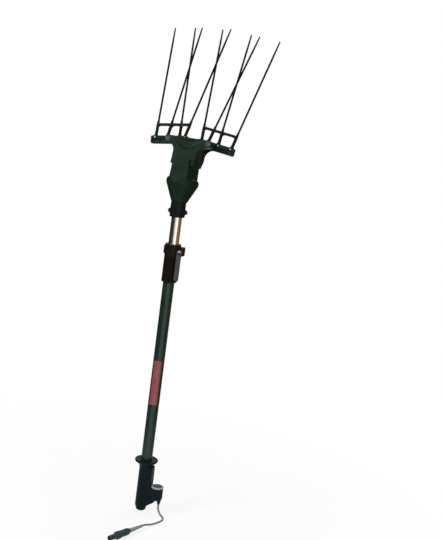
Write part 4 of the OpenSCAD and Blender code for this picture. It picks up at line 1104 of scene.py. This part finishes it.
@dataclass
class Handle:
    """Two-part handle: grip, hand guard, web and switch pod. Millimetres."""

    foot: float = 14.0
    top: float = 170.0
    grip_r: float = 19.55
    bore_r: float = 17.55
    guard_r: float = 36.5
    guard_foot: float = 150.0
    # Guard's profile: its cone out from the grip, its rim in from the edge and down from the top, its dish
    guard_root: float = 6.0
    guard_cone: Point2 = (4.0, 5.0)
    guard_rim: Sequence[Point2] = ((1.0, 7.0), (0.0, 5.0), (0.0, 2.0), (2.0, 0.0))
    guard_dish: Point2 = (6.0, 1.5)
    # Web's outline: its width at the guard, its edge above the pod, and its corners on the pod and the grip
    web_half: float = 12.0
    web_out: float = 7.5
    web_gap: float = 0.8
    web_rise: float = 14.0
    web_pod: Point2 = (6.0, 4.0)
    web_heel: Point2 = (4.0, 10.0)
    web_toe: Point2 = (4.0, 2.0)
    pod_x: float = 48.0
    pod_r: float = 19.0
    pod_bore_r: float = 16.0
    pod_foot: float = 46.0
    pod_floor: float = 50.0
    pod_top: float = 86.0
    pod_edge: Point2 = (3.0, 5.0)
    bezel_h: float = 4.0
    bezel_bore_r: float = 14.2
    bezel_out: float = 0.3
    bezel_edge: float = 0.6
    button_r: float = 13.9
    button_foot: float = 83.0
    button_sink: float = 1.0
    stem_r: float = 3.0
    stem_foot: float = 64.0
    dome_h: float = 5.0
    rim_r: float = 1.6
    joint_gap: float = 0.5
    fuse_mm: float = 1.3
    fuse_rounds: int = 5

    def pod_axis(self) -> Matrix:
        """Frame of the pod, the bezel and the button."""
        return Matrix.Translation((self.pod_x, 0, 0))

    def build(self) -> None:
        """Make both halves, the bezel and the button."""
        split_shell(self._whole(), "handle", Matrix.Identity(4), self.joint_gap, HANDLE_PLASTIC, "pole")
        self._bezel()
        self._button()
        dress_node("handle_screws", ZINC_STEEL, bevel_mm=0.3)
        dress_node("switch_body", BLACK_NYLON, bevel_mm=0.4)
        Coil("button_spring_wound", ZINC_STEEL, "button_spring", "switch_button", x=self.pod_x, coil_r=6.5,
             wire_r=0.6, foot=68.65, top=82.35, turns=4).build()

    def _whole(self) -> bpy.types.Object:
        """Fuse grip, guard, web and pod into one skin, then cut its bores.

        Returns:
            The handle before it is parted.
        """
        form = Form()
        form.lathe(rod(self.grip_r, self.foot, self.guard_foot))
        root, dish = self.guard_foot - self.guard_root, self.top - self.guard_dish[1]
        rim = [(self.guard_r - inward, self.top - down) for inward, down in self.guard_rim]
        form.lathe([(0, root), (self.grip_r, root),
                    (self.grip_r + self.guard_cone[0], self.guard_foot + self.guard_cone[1]), *rim,
                    (self.grip_r + self.guard_dish[0], dish), (0, dish)])
        near, toe = self.pod_x - self.pod_r, self.foot + self.web_toe[1]
        edge = near - self.web_gap
        web = [(0, self.guard_foot), (self.grip_r + self.web_out, self.guard_foot),
               (edge, self.pod_top + self.web_rise), (edge, self.pod_top),
               (near + self.web_pod[0], self.pod_top - self.web_pod[1]), (self.pod_x, self.pod_foot),
               (self.pod_x - self.web_heel[0], self.pod_foot - self.web_heel[1]),
               (self.grip_r - self.web_toe[0], toe), (0, toe)]
        form.prism(web, 0, 2 * self.web_half, upright(self.web_half))
        form.lathe([(0, self.pod_foot), (self.pod_r - self.pod_edge[0], self.pod_foot),
                    (self.pod_r, self.pod_foot + self.pod_edge[1]), (self.pod_r, self.pod_top),
                    (0, self.pod_top)], self.pod_axis())
        whole = form.build("handle_whole")
        soften(whole, self.fuse_mm, self.fuse_rounds)
        bores = Form()
        bores.lathe(rod(self.bore_r, 0, 2 * self.top))
        bores.lathe(rod(self.pod_bore_r, self.pod_floor, 2 * self.pod_top), self.pod_axis())
        carve(whole, bores.build("handle_bores"))
        return whole

    def _bezel(self) -> None:
        """Turn the pale ring round the button, with a rolled rim."""
        outer, low, high = self.pod_r + self.bezel_out, self.pod_top, self.pod_top + self.bezel_h
        rim = arc((outer - self.rim_r, high - self.rim_r), self.rim_r, 0, 90, 6)
        profile = [(self.bezel_bore_r, low), (outer, low), *rim, (self.bezel_bore_r + self.bezel_edge, high),
                   (self.bezel_bore_r, high - self.bezel_edge)]
        ring = Form(self.pod_axis()).lathe(profile, sides=72, looped=True).build("bezel_ring")
        dress(ring, PALE_ABS, "pole", ["switch_bezel"])

    def _button(self) -> None:
        """Turn the domed push button with its stem."""
        shoulder = self.pod_top + self.bezel_h - self.button_sink
        dome = [(self.button_r * x, shoulder + self.dome_h * y) for x, y in arc((0, 0), 1, 0, 90, 10)]
        profile = [(0, self.stem_foot), (self.stem_r, self.stem_foot), (self.stem_r, self.button_foot),
                   (self.button_r, self.button_foot), *dome]
        dress(Form(self.pod_axis()).lathe(profile).build("button_dome"), BUTTON_SILICONE, "switch_button",
              ["switch_button"])


@dataclass
class Clamp:
    """Telescope clamp: split ring, ribbed sleeve and cam lever. Millimetres."""

    sleeve_foot: float = 745.0
    sleeve_top: float = 824.0
    sleeve_r: float = 23.6
    sleeve_bore_r: float = 20.6
    ribs: int = 28
    rib_steps: int = 10
    # Height above an end, depth of the grooves there and loss of radius at the rim
    rib_ends: Sequence[Point3] = ((0.0, 0.0, 1.2), (1.2, 0.0, 0.0), (6.0, 0.0, 0.0), (8.0, 0.9, 0.0))
    lever_x: float = 29.0
    lever_y: float = -17.0
    lever_z: float = 843.0
    lever_half: float = 6.8
    lever_len: float = 88.0
    cam_r: float = 5.7
    cheek: float = 3.0
    # Lever in side view, as depth and height from its pin: its toe, and the inner edges of cheeks and web
    cam_edge: Point2 = (0.6, -2.0)
    toe_edge: Point2 = (1.5, 4.0)
    toe_depth: float = -1.0
    toe_rise: float = 6.0
    cheek_toe: float = 1.0
    cheek_edge: Sequence[Point2] = ((0.6, -30.0), (1.3, -9.0))
    web_toe: float = 0.2
    web_edge: Sequence[Point2] = ((-0.6, -30.0), (-0.6, -8.0))
    web_overlap: float = 0.1

    def build(self) -> None:
        """Make the sleeve and the lever, and dress the ring and its screw."""
        self._sleeve()
        self._lever()
        dress_node("lock_collar", BROWN_NYLON, bevel_mm=0.9)
        for node in ("clamp_bolt", "clamp_nut", "lever_pin"):
            dress_node(node, ZINC_STEEL, bevel_mm=0.3)

    def _sleeve(self) -> None:
        """Make the rubber sleeve, with rounded ribs that run out before its ends."""
        turns = self.ribs * self.rib_steps
        length = self.sleeve_top - self.sleeve_foot
        far_end = [(length - rise, dip, edge) for rise, dip, edge in reversed(self.rib_ends)]
        grooves = [0.5 - 0.5 * math.cos(2 * math.pi * k / turns * self.ribs) for k in range(turns)]
        rings = []
        for rise, dip, edge in (*self.rib_ends, *far_end):
            reach = [self.sleeve_r - edge - dip * groove for groove in grooves]
            rings.append([(r * x, r * y, self.sleeve_foot + rise) for r, (x, y) in zip(reach, circle(turns))])
        rings += [level_ring(self.sleeve_bore_r, z, turns) for z in (self.sleeve_top, self.sleeve_foot)]
        dress(Form().loft(rings, looped=True).build("sleeve_ribbed"), GRIP_RUBBER, "pole", ["lock_grip"])

    def _lever(self) -> None:
        """Make the cam lever: two cheeks and a web between them, lying along the sleeve."""
        form = Form(Matrix.Translation((self.lever_x, self.lever_y, self.lever_z)))
        half, cheek = self.lever_half, self.cheek
        foot, back = -self.lever_len, -self.cam_r
        toe = [(back, foot + self.toe_edge[1]), (back + self.toe_edge[0], foot), (self.toe_depth, foot)]
        side_view = [(back, 0), *toe, (self.cheek_toe, foot + self.toe_rise), *self.cheek_edge,
                     (self.cam_r - self.cam_edge[0], self.cam_edge[1]), *arc((0, 0), self.cam_r, 0, 180, 12)]
        web = [(back, self.web_edge[-1][1]), *toe, (self.web_toe, foot + self.toe_rise), *self.web_edge]
        # Lays a side view's axes along Y and Z, and its thickness along X
        lay = Matrix(((0, 0, 1, 0), (1, 0, 0, 0), (0, 1, 0, 0), (0, 0, 0, 1)))
        form.prism(side_view, -half, -half + cheek, lay)
        form.prism(side_view, half - cheek, half, lay)
        form.prism(web, -half + cheek - self.web_overlap, half - cheek + self.web_overlap, lay)
        dress(form.build("lever_cam"), GREY_ACETAL, "lock_lever", ["lock_lever"], bevel_mm=0.6)


class HeadFrame:
    """Frame of the motor head: leaning back from the socket's top. Millimetres."""

    NECK_Z = 988.0
    TILT_DEG = 10.0

    @classmethod
    def matrix(cls) -> Matrix:
        """Matrix from the head's own millimetres to the object's."""
        return Matrix.Translation((0, 0, cls.NECK_Z)) @ Matrix.Rotation(math.radians(-cls.TILT_DEG), 4, "X")


@dataclass
class Head:
    """Motor head in two moulded shells with a neck socket. Millimetres in the head's frame."""

    foot_w: float = 0.5
    socket_r: float = 23.0
    band_r: float = 49.0
    band_w: float = 62.0
    band_half: float = 9.0
    # Step in, rise of the slope and height of the fade at the band's edges
    band_edge: Point3 = (2.0, 4.0, 3.0)
    barrel_r: float = 41.0
    barrel_top: float = 128.0
    wall: float = 3.0
    lip: float = 5.0
    lip_bore_r: float = 14.0
    cone_slope: float = 0.45
    groove_step: float = 0.3
    plate_r: float = 39.2
    plate_w: Point2 = (112.0, 116.1)
    panel_half: Point2 = (28.5, 26.0)
    panel_w: Point2 = (66.0, 130.0)
    panel_y: float = -44.0
    pivot_x: float = 65.0
    pivot_w: float = 185.0
    ear_r: float = 11.0
    flare_w: float = 112.0
    flare_half: float = 36.0
    flank_half: float = 38.0
    front_y: Point2 = (-39.0, -17.0)
    rear_y: Point2 = (36.0, 50.0)
    rear_rise: float = 20.0
    rear_wall: float = 6.0
    flare_steps: int = 42
    bars_y: Point2 = (9.7, 44.0)
    bar_room: float = 24.0
    chamber_w: Sequence[float] = (119.0, 139.0, 159.0, 172.0, 260.0)
    chamber_half: Sequence[float] = (30.0, 30.0, 30.0, 42.0, 42.0)
    crank_w: float = 148.0
    gear_room_r: float = 32.6
    gear_y: Point2 = (-13.8, 0.7)
    boss_r: float = 14.0
    boss_step: float = 1.0
    bearing_r: float = 11.05
    journal_r: float = 6.4
    bearing_seats: Sequence[float] = (-25.8, -22.8, -12.8, 33.0, 44.0, 45.5)
    screw_spots: Sequence[Point3] = ((36.0, 62.0, 24.0), (21.0, 24.0, 18.0))
    screw_boss_r: float = 4.4
    screw_r: float = 1.65
    screw_head_r: float = 3.5
    bolt_r: float = 5.05
    bolt_seat_r: float = 8.3
    joint_gap: float = 0.6
    fuse_mm: float = 1.5
    fuse_rounds: int = 4
    # Reaches of the cutters beyond a face or the skin, and the gap between two cuts that end side by side
    over: float = 1.0
    cut_gap: float = 0.1
    far: float = 90.0
    column_half: float = 60.0
    boss_len: float = 30.0
    slot_half: float = 160.0
    scoop_out: float = 20.0
    scoop_half_steps: int = 6
    # Circle that bounds the scoop, and its depth at each height
    scoop_r: float = 48.0
    scoop_w: float = 206.0
    scoop: Sequence[Point2] = ((158.2, 0.2), (160.0, 3.5), (162.0, 6.0), (165.0, 7.8), (168.0, 8.4),
                               (172.0, 7.4), (176.0, 6.3), (180.0, 5.2), (184.0, 4.2), (188.0, 3.2),
                               (191.0, 1.0))

    def build(self) -> None:
        """Make the shells and dress the socket and the fasteners."""
        split_shell(self._whole(), "head", HeadFrame.matrix(), self.joint_gap, GREEN_NYLON, "head")
        dress_node("neck_socket", BLACK_NYLON, bevel_mm=1.2)
        dress_node("socket_bolt", PASSIVATED_STEEL, bevel_mm=0.5)
        for node in ("socket_nut", "head_screws", "pivot_bolts", "pivot_nuts"):
            dress_node(node, OXIDE_STEEL, bevel_mm=0.4)
        dress_node("pivot_spacers", BLACK_NYLON, bevel_mm=0.3)

    def _form(self) -> Form:
        """Start a mesh in the head's frame."""
        return Form(HeadFrame.matrix())

    def _barrel(self, inset: float) -> list[Point2]:
        """Draw the motor barrel's profile above its foot.

        Args:
            inset: How far it is taken in, as for its hollow.

        Returns:
            Radius and height pairs.
        """
        low, high = self.band_w - self.band_half, self.band_w + self.band_half
        band = self.band_r - inset
        step, rise, fade = self.band_edge
        return [(band - step, low), (band, low + rise), (band, high - rise), (band - step, high),
                (self.barrel_r + step - inset, high + fade)]

    def _half_width(self, w: float) -> float:
        """Find the flare's half-width: near straight, then a hollow flank, then a round ear.

        Args:
            w: Height in the head.

        Returns:
            Half-width at that height.
        """
        ear_foot = self.pivot_w - self.ear_r
        flank_r = self.pivot_x - self.flank_half
        flank_w = ear_foot - flank_r
        if w < flank_w:
            spread, rise = self.flank_half - self.flare_half, flank_w - self.flare_w
            return self.flare_half + spread * (w - self.flare_w) / rise
        if w < ear_foot:
            return self.pivot_x - math.sqrt(flank_r ** 2 - (w - flank_w) ** 2)
        return self.pivot_x + math.sqrt(max(self.ear_r ** 2 - (w - self.pivot_w) ** 2, 0))

    def _front(self, w: float) -> float:
        """Depth of the flare's sloping front at a height."""
        rise = self.pivot_w + self.ear_r - self.flare_w
        return self.front_y[0] + (self.front_y[1] - self.front_y[0]) * (w - self.flare_w) / rise

    def _box_ring(self, w: float, half: float, front: float, rear: float) -> list[Point3]:
        """Four corners of the head at one height."""
        return [(-half, front, w), (half, front, w), (half, rear, w), (-half, rear, w)]

    def _whole(self) -> bpy.types.Object:
        """Fuse barrel, front panel and flare, then cut the scoop, the rooms and the bores.

        Returns:
            The head before it is parted.
        """
        form = self._form()
        form.lathe([(0, self.foot_w), (self.socket_r, self.foot_w), *self._barrel(0),
                    (self.barrel_r, self.barrel_top), (0, self.barrel_top)], sides=72)
        panel = zip(self.panel_w, self.panel_half)
        form.loft([self._box_ring(w, half, self.panel_y, 0) for w, half in panel])
        top = self.pivot_w + self.ear_r
        low, high = self.rear_y
        rings = []
        for k in range(self.flare_steps + 1):
            w = self.flare_w + (top - self.flare_w) * k / self.flare_steps
            rear = min(high, low + (high - low) * (w - self.flare_w) / self.rear_rise)
            rings.append(self._box_ring(w, self._half_width(w), self._front(w), rear))
        form.loft(rings)
        whole = form.build("head_whole")
        soften(whole, self.fuse_mm, self.fuse_rounds)
        # The scoop comes first, as the cut fails on the hollowed skin
        for cutter in (self._scoop(), self._barrel_room(), self._drive_room(), self._gear_room(),
                       self._bar_slot(), self._crank_bore(), self._fastener_bores()):
            carve(whole, cutter)
        return whole

    def _barrel_room(self) -> bpy.types.Object:
        """Turn the room for the motor, with a groove for its plate and columns left for the shell screws.

        Returns:
            The cutter.
        """
        hollow = self.barrel_r - self.wall
        mouth, (low, high) = hollow + self.groove_step, self.plate_w
        groove = [(mouth, low), (self.plate_r, low), (self.plate_r, high), (mouth, high)]
        profile = [(0, -self.over), (self.lip_bore_r, -self.over), (self.lip_bore_r, self.lip),
                   (self.socket_r - self.wall + self.cone_slope * self.lip, self.lip),
                   *self._barrel(self.wall), *groove, (hollow, self.barrel_top), (0, self.barrel_top)]
        room = self._form().lathe(profile, sides=72).build("barrel_room")
        columns = self._form()
        for x, w, _ in self.screw_spots:
            for side in (-1, 1):
                columns.lathe(rod(self.screw_boss_r, -self.column_half, self.column_half),
                              along_y(0, side * x, w), sides=24)
        carve(room, columns.build("screw_columns"))
        return room

    def _drive_room(self) -> bpy.types.Object:
        """Make the room for the yoke behind the parting plane, open at the top, round the rear boss.

        Returns:
            The cutter.
        """
        # The wall lies a little behind the slot's, as two cuts that end on one plane leave open edges
        wall = self.bars_y[1] + self.cut_gap
        rear = [self.rear_y[0] - self.rear_wall] + [wall] * (len(self.chamber_w) - 1)
        chamber = zip(self.chamber_w, self.chamber_half, rear)
        rings = [self._box_ring(w, half, -self.over, y) for w, half, y in chamber]
        room = self._form().loft(rings).build("drive_room")
        seat = along_y(self.bearing_seats[3] + self.boss_step, 0, self.crank_w)
        boss = self._form().lathe(rod(self.boss_r, 0, self.boss_len), seat, sides=48)
        carve(room, boss.build("bearing_boss"))
        return room

    def _gear_room(self) -> bpy.types.Object:
        """Round room for the crown gear in front of the parting plane."""
        room = rod(self.gear_room_r, 0, -self.gear_y[0] + self.gear_y[1])
        return self._form().lathe(room, along_y(self.gear_y[0], 0, self.crank_w)).build("gear_room")

    def _bar_slot(self) -> bpy.types.Object:
        """Slot in which the comb bars swing, open to the sides and the top."""
        low = (-self.slot_half, self.bars_y[0], self.pivot_w - self.bar_room)
        return self._form().block(low, (self.slot_half, self.bars_y[1], self.chamber_w[-1])).build("bar_slot")

    def _crank_bore(self) -> bpy.types.Object:
        """Turn the stepped bore for the crank and its two bearings.

        Returns:
            The cutter.
        """
        front, seat, gear, rear, wall, end = self.bearing_seats
        thin, wide = self.journal_r, self.bearing_r
        profile = [(0, front), (thin, front), (thin, seat), (wide, seat), (wide, gear), (thin, gear),
                   (thin, rear), (wide, rear), (wide, wall), (thin, wall), (thin, end), (0, end)]
        return self._form().lathe(profile, along_y(0, 0, self.crank_w), sides=48).build("crank_bore")

    def _fastener_bores(self) -> bpy.types.Object:
        """Turn the bores and seats of the bolts and screws.

        Returns:
            The cutter.
        """
        form = self._form()
        far, face = self.far, self.front_y[1]
        bolt = [(0, -far), (self.bolt_seat_r, -far), (self.bolt_seat_r, face), (self.bolt_r, face),
                (self.bolt_r, far), (0, far)]
        for side in (-1, 1):
            form.lathe(bolt, along_y(0, side * self.pivot_x, self.pivot_w), sides=40)
            for x, w, seat in self.screw_spots:
                screw = [(0, -seat), (self.screw_r, -seat), (self.screw_r, seat), (self.screw_head_r, seat),
                         (self.screw_head_r, far), (0, far)]
                form.lathe(screw, along_y(0, side * x, w), sides=24)
        return form.build("fastener_bores")

    def _scoop(self) -> bpy.types.Object:
        """Make the scoop in the flare's front: a ledge that faces up, under a floor that rises to the top.

        Returns:
            The cutter.
        """
        places = [k / self.scoop_half_steps - 1 for k in range(2 * self.scoop_half_steps + 1)]
        rings = []
        for w, depth in self.scoop:
            half = math.sqrt(self.scoop_r ** 2 - (self.scoop_w - w) ** 2)
            front = self._front(w)
            floor = [(half * p, front + depth * (1 - abs(p) ** 3), w) for p in places]
            rings.append([(half, front - self.scoop_out, w), (-half, front - self.scoop_out, w), *floor])
        return self._form().loft(rings).build("scoop")


@dataclass
class Drive:
    """Motor, gears, crank and yoke inside the head: the frame's own solids, dressed."""

    steel: Sequence[str] = ("motor_plate", "motor_can", "motor_bearings", "crank_bearings", "guide_rods",
                            "rotor_shaft", "crank_shaft", "crank_roller")

    def build(self) -> None:
        """Dress each node of the drive."""
        for node in self.steel:
            dress_node(node, ZINC_STEEL, bevel_mm=0.2)
        dress_node("motor_magnets", FERRITE)
        dress_node("motor_end_cap", BLACK_NYLON, bevel_mm=0.4)
        dress_node("motor_leads", RED_PVC)
        dress_node("armature", COPPER_WINDING)
        dress_node("drive_pinion", TURNED_BRASS)
        dress_node("crown_gear", WHITE_ACETAL)
        dress_node("drive_yoke", GREY_ACETAL, bevel_mm=0.6)


class Side(Enum):
    """Which comb: the left one works in front of the right one."""

    LEFT = "left"
    RIGHT = "right"


@dataclass
class Comb:
    """One comb: bar, posts with their rail, and tines. Millimetres in the comb's own level frame."""

    side: Side
    pivot_x: float = Head.pivot_x
    pivot_w: float = Head.pivot_w
    left_y: float = 10.0
    right_y: float = 26.5
    open_deg: float = 7.5
    bar_h: float = 24.0
    bar_t: float = 15.0
    bar_edge: float = 3.0
    bar_inner: float = 14.0
    bar_outer: float = 132.0
    pivot_r: float = 5.08
    slot_x: float = 33.0
    slot_r: float = 4.1
    slot_half: float = 1.0
    pockets: Sequence[Point2] = ((-127.0, -106.0), (-102.0, -80.0), (-53.0, -41.0))
    pocket_depth: float = 3.0
    pocket_sill: float = 4.0
    pocket_head: float = 10.0
    screw_r: float = 2.3
    screw_depth: float = 4.0
    screw_drop: float = 5.0
    over: float = 1.0
    tine_x: Sequence[float] = (119.3, 78.3, 42.6, 22.2)
    tine_lean: Sequence[float] = (0.6, -7.2, 2.0, -13.2)
    tine_row: Sequence[float] = (3.3, -3.3, 3.3, -3.3)
    rake_deg: float = 18.0
    post_r: float = 4.8
    post_h: float = 42.0
    post_root: float = 3.0
    post_edge: Point2 = (0.8, 3.0)
    # Collar round a post's foot: how far it stands out, its share of that half-way up, and its heights
    collar: float = 1.6
    collar_share: float = 0.125
    collar_w: Point3 = (2.0, 5.0, 12.0)
    rail_w: float = 36.0
    rail_h: float = 8.0
    arch: float = 8.0
    arch_steps: int = 12
    rail_t: float = 10.0
    tine_r: float = 3.0
    tip_r: float = 2.2
    tip_len: float = 60.0
    tine_len: float = 337.0
    tine_seat: float = 8.0
    tine_start: float = 0.05
    ferrule: float = 0.9
    ferrule_len: float = 7.0
    ferrule_edge: Point3 = (0.3, 2.0, 2.2)
    fuse_mm: float = 0.7
    fuse_rounds: int = 3
    # Corners of the block that cuts the posts' feet off at the bar's top
    cut_low: Point3 = (-200.0, -80.0, -60.0)
    cut_high: Point2 = (100.0, 120.0)
    cut_gap: float = 0.05

    @property
    def body(self) -> str:
        """Name of the CAD body that this comb is."""
        return f"comb_{self.side.value}"

    def matrix(self) -> Matrix:
        """Place the comb's level frame, which is drawn for the left side, at rest on the head.

        Returns:
            Matrix from the comb's millimetres to the object's.
        """
        left = self.side is Side.LEFT
        flip = Matrix.Identity(4) if left else Matrix.Scale(-1, 4, (1, 0, 0))
        swing = (Matrix.Translation((-self.pivot_x, self.left_y if left else self.right_y, self.pivot_w))
                 @ Matrix.Rotation(math.radians(-self.open_deg), 4, "Y")
                 @ Matrix.Translation((self.pivot_x, 0, 0)))
        return HeadFrame.matrix() @ flip @ swing

    def tine_frame(self, k: int) -> Matrix:
        """Frame of one tine, its Z axis along the tine from the bar's top."""
        return (Matrix.Translation((-self.tine_x[k], self.bar_t / 2 + self.tine_row[k], self.bar_h / 2))
                @ Matrix.Rotation(math.radians(-self.rake_deg), 4, "X")
                @ Matrix.Rotation(math.radians(-self.tine_lean[k]), 4, "Y"))

    def build(self) -> None:
        """Make the bar, the posts and the tines."""
        self._bar()
        self._posts()
        self._tines()
        dress_node(f"set_screws_{self.side.value}", ZINC_STEEL)

    def _bar(self) -> None:
        """Make the bar, with pockets in both faces, the pivot's bore and a slot for the drive's pin."""
        form = Form(self.matrix())
        low, high = -self.bar_h / 2, self.bar_h / 2
        outer, inner, edge = -self.bar_outer, -self.bar_inner, self.bar_edge
        outline = [(outer, low + edge), (outer + edge, low), (inner - edge, low), (inner, low + edge),
                   (inner, high - edge), (inner - edge, high), (outer + edge, high), (outer, high - edge)]
        form.prism(outline, 0, self.bar_t, upright(self.bar_t))
        bar = form.build(f"comb_bar_{self.side.value}_ribbed")
        cuts = Form(self.matrix())
        sill, head = low + self.pocket_sill, high - self.pocket_head
        for left, right in self.pockets:
            pocket = [(left, sill), (right, sill), (right, head), (left, head)]
            for face in (self.pocket_depth, self.bar_t + self.over):
                cuts.prism(pocket, 0, self.pocket_depth + self.over, upright(face))
        through = self.bar_t + 2 * self.over
        cuts.lathe(rod(self.pivot_r, 0, through), along_y(-self.over, -self.pivot_x, 0), sides=40)
        slot = (arc((self.slot_half - self.slot_x, 0), self.slot_r, -90, 90, 10)
                + arc((-self.slot_half - self.slot_x, 0), self.slot_r, 90, 270, 10))
        cuts.prism(slot, 0, through, upright(self.bar_t + self.over))
        for x in self.tine_x:
            cuts.lathe(rod(self.screw_r, 0, self.screw_depth),
                       along_y(-self.over, -x, high - self.screw_drop), sides=24)
        carve(bar, cuts.build("bar_cuts"))
        dress(bar, GREEN_NYLON, self.body, [f"comb_bar_{self.side.value}"], bevel_mm=0.8)

    def _rail_outline(self) -> list[Point2]:
        """Draw the front view of the rail: level on top, with arches below between the posts.

        Returns:
            Corner points, in order.
        """
        rise = self.rail_w / math.cos(math.radians(self.rake_deg))
        stops = [x + rise * math.tan(math.radians(lean)) for x, lean in zip(self.tine_x, self.tine_lean)]
        middle = self.bar_h / 2 + self.rail_w
        top, under = middle + self.rail_h / 2, middle - self.rail_h / 2
        below: list[Point2] = []
        for far, near in zip(stops, stops[1:]):
            for k in range(self.arch_steps):
                t = -1 + 2 * k / self.arch_steps
                below.append(((far - near) / 2 * t - (far + near) / 2, under - self.arch * t ** 6))
        below.append((-stops[-1], under - self.arch))
        return below + [(-stops[-1], top), (-stops[0], top)]

    def _posts(self) -> None:
        """Mould four posts and their arched rail in one, with collars except beside the guide rods."""
        form = Form(self.matrix())
        inner = len(self.tine_x) - 1
        low, middle, high = self.collar_w
        inward, drop = self.post_edge
        for k in range(len(self.tine_x)):
            foot = self.post_r + (0 if k == inner else self.collar)
            waist = self.post_r + (foot - self.post_r) * self.collar_share
            form.lathe([(0, -self.post_root), (foot, -self.post_root), (foot, low), (waist, middle),
                        (self.post_r, high), (self.post_r, self.post_h - drop),
                        (self.post_r - inward, self.post_h), (0, self.post_h)], self.tine_frame(k), sides=32)
        rail_y = self.bar_t / 2 + self.rail_w * math.tan(math.radians(self.rake_deg))
        form.prism(self._rail_outline(), 0, self.rail_t, upright(rail_y + self.rail_t / 2))
        posts = form.build(f"tine_posts_{self.side.value}_moulded")
        soften(posts, self.fuse_mm, self.fuse_rounds)
        below = Form(self.matrix()).block(self.cut_low, (*self.cut_high, self.bar_h / 2 - self.cut_gap))
        carve(posts, below.build("below_bar"))
        dress(posts, BLACK_NYLON, self.body, [f"tine_posts_{self.side.value}"], smooth_deg=MOULDED_DEG)

    def _tines(self) -> None:
        """Turn four rods with a ferrule at the foot, each tapering to a rounded tip."""
        form = Form(self.matrix())
        root = self.post_h - self.tine_seat
        end = root + self.tine_len
        neck = root + self.ferrule_len
        thin, wide = self.tine_r, self.tine_r + self.ferrule
        lip, slope, last = self.ferrule_edge
        profile = [(0, self.tine_start), (thin, self.tine_start), (thin, root), (wide, root), (wide, neck),
                   (thin + lip, neck + slope), (thin, neck + last), (thin, end - self.tip_len),
                   *arc((0, end), self.tip_r, 0, 90, 5)]
        for k in range(len(self.tine_x)):
            form.lathe(profile, self.tine_frame(k) @ Matrix.Translation((0, 0, self.tine_seat)), sides=24)
        dress(form.build(f"tines_{self.side.value}_rods"), FIBRE_ROD, self.body, [f"tines_{self.side.value}"])


def main() -> None:
    """Build the camera, the cord and every sub-assembly."""
    logging.basicConfig(level=logging.INFO, format="%(message)s")
    PhotoCamera().place()
    SupplyCord().build()
    Studio().build()
    Pole().build()
    Handle().build()
    Clamp().build()
    Head().build()
    Drive().build()
    for side in Side:
        Comb(side).build()


if __name__ == "__main__":
    main()
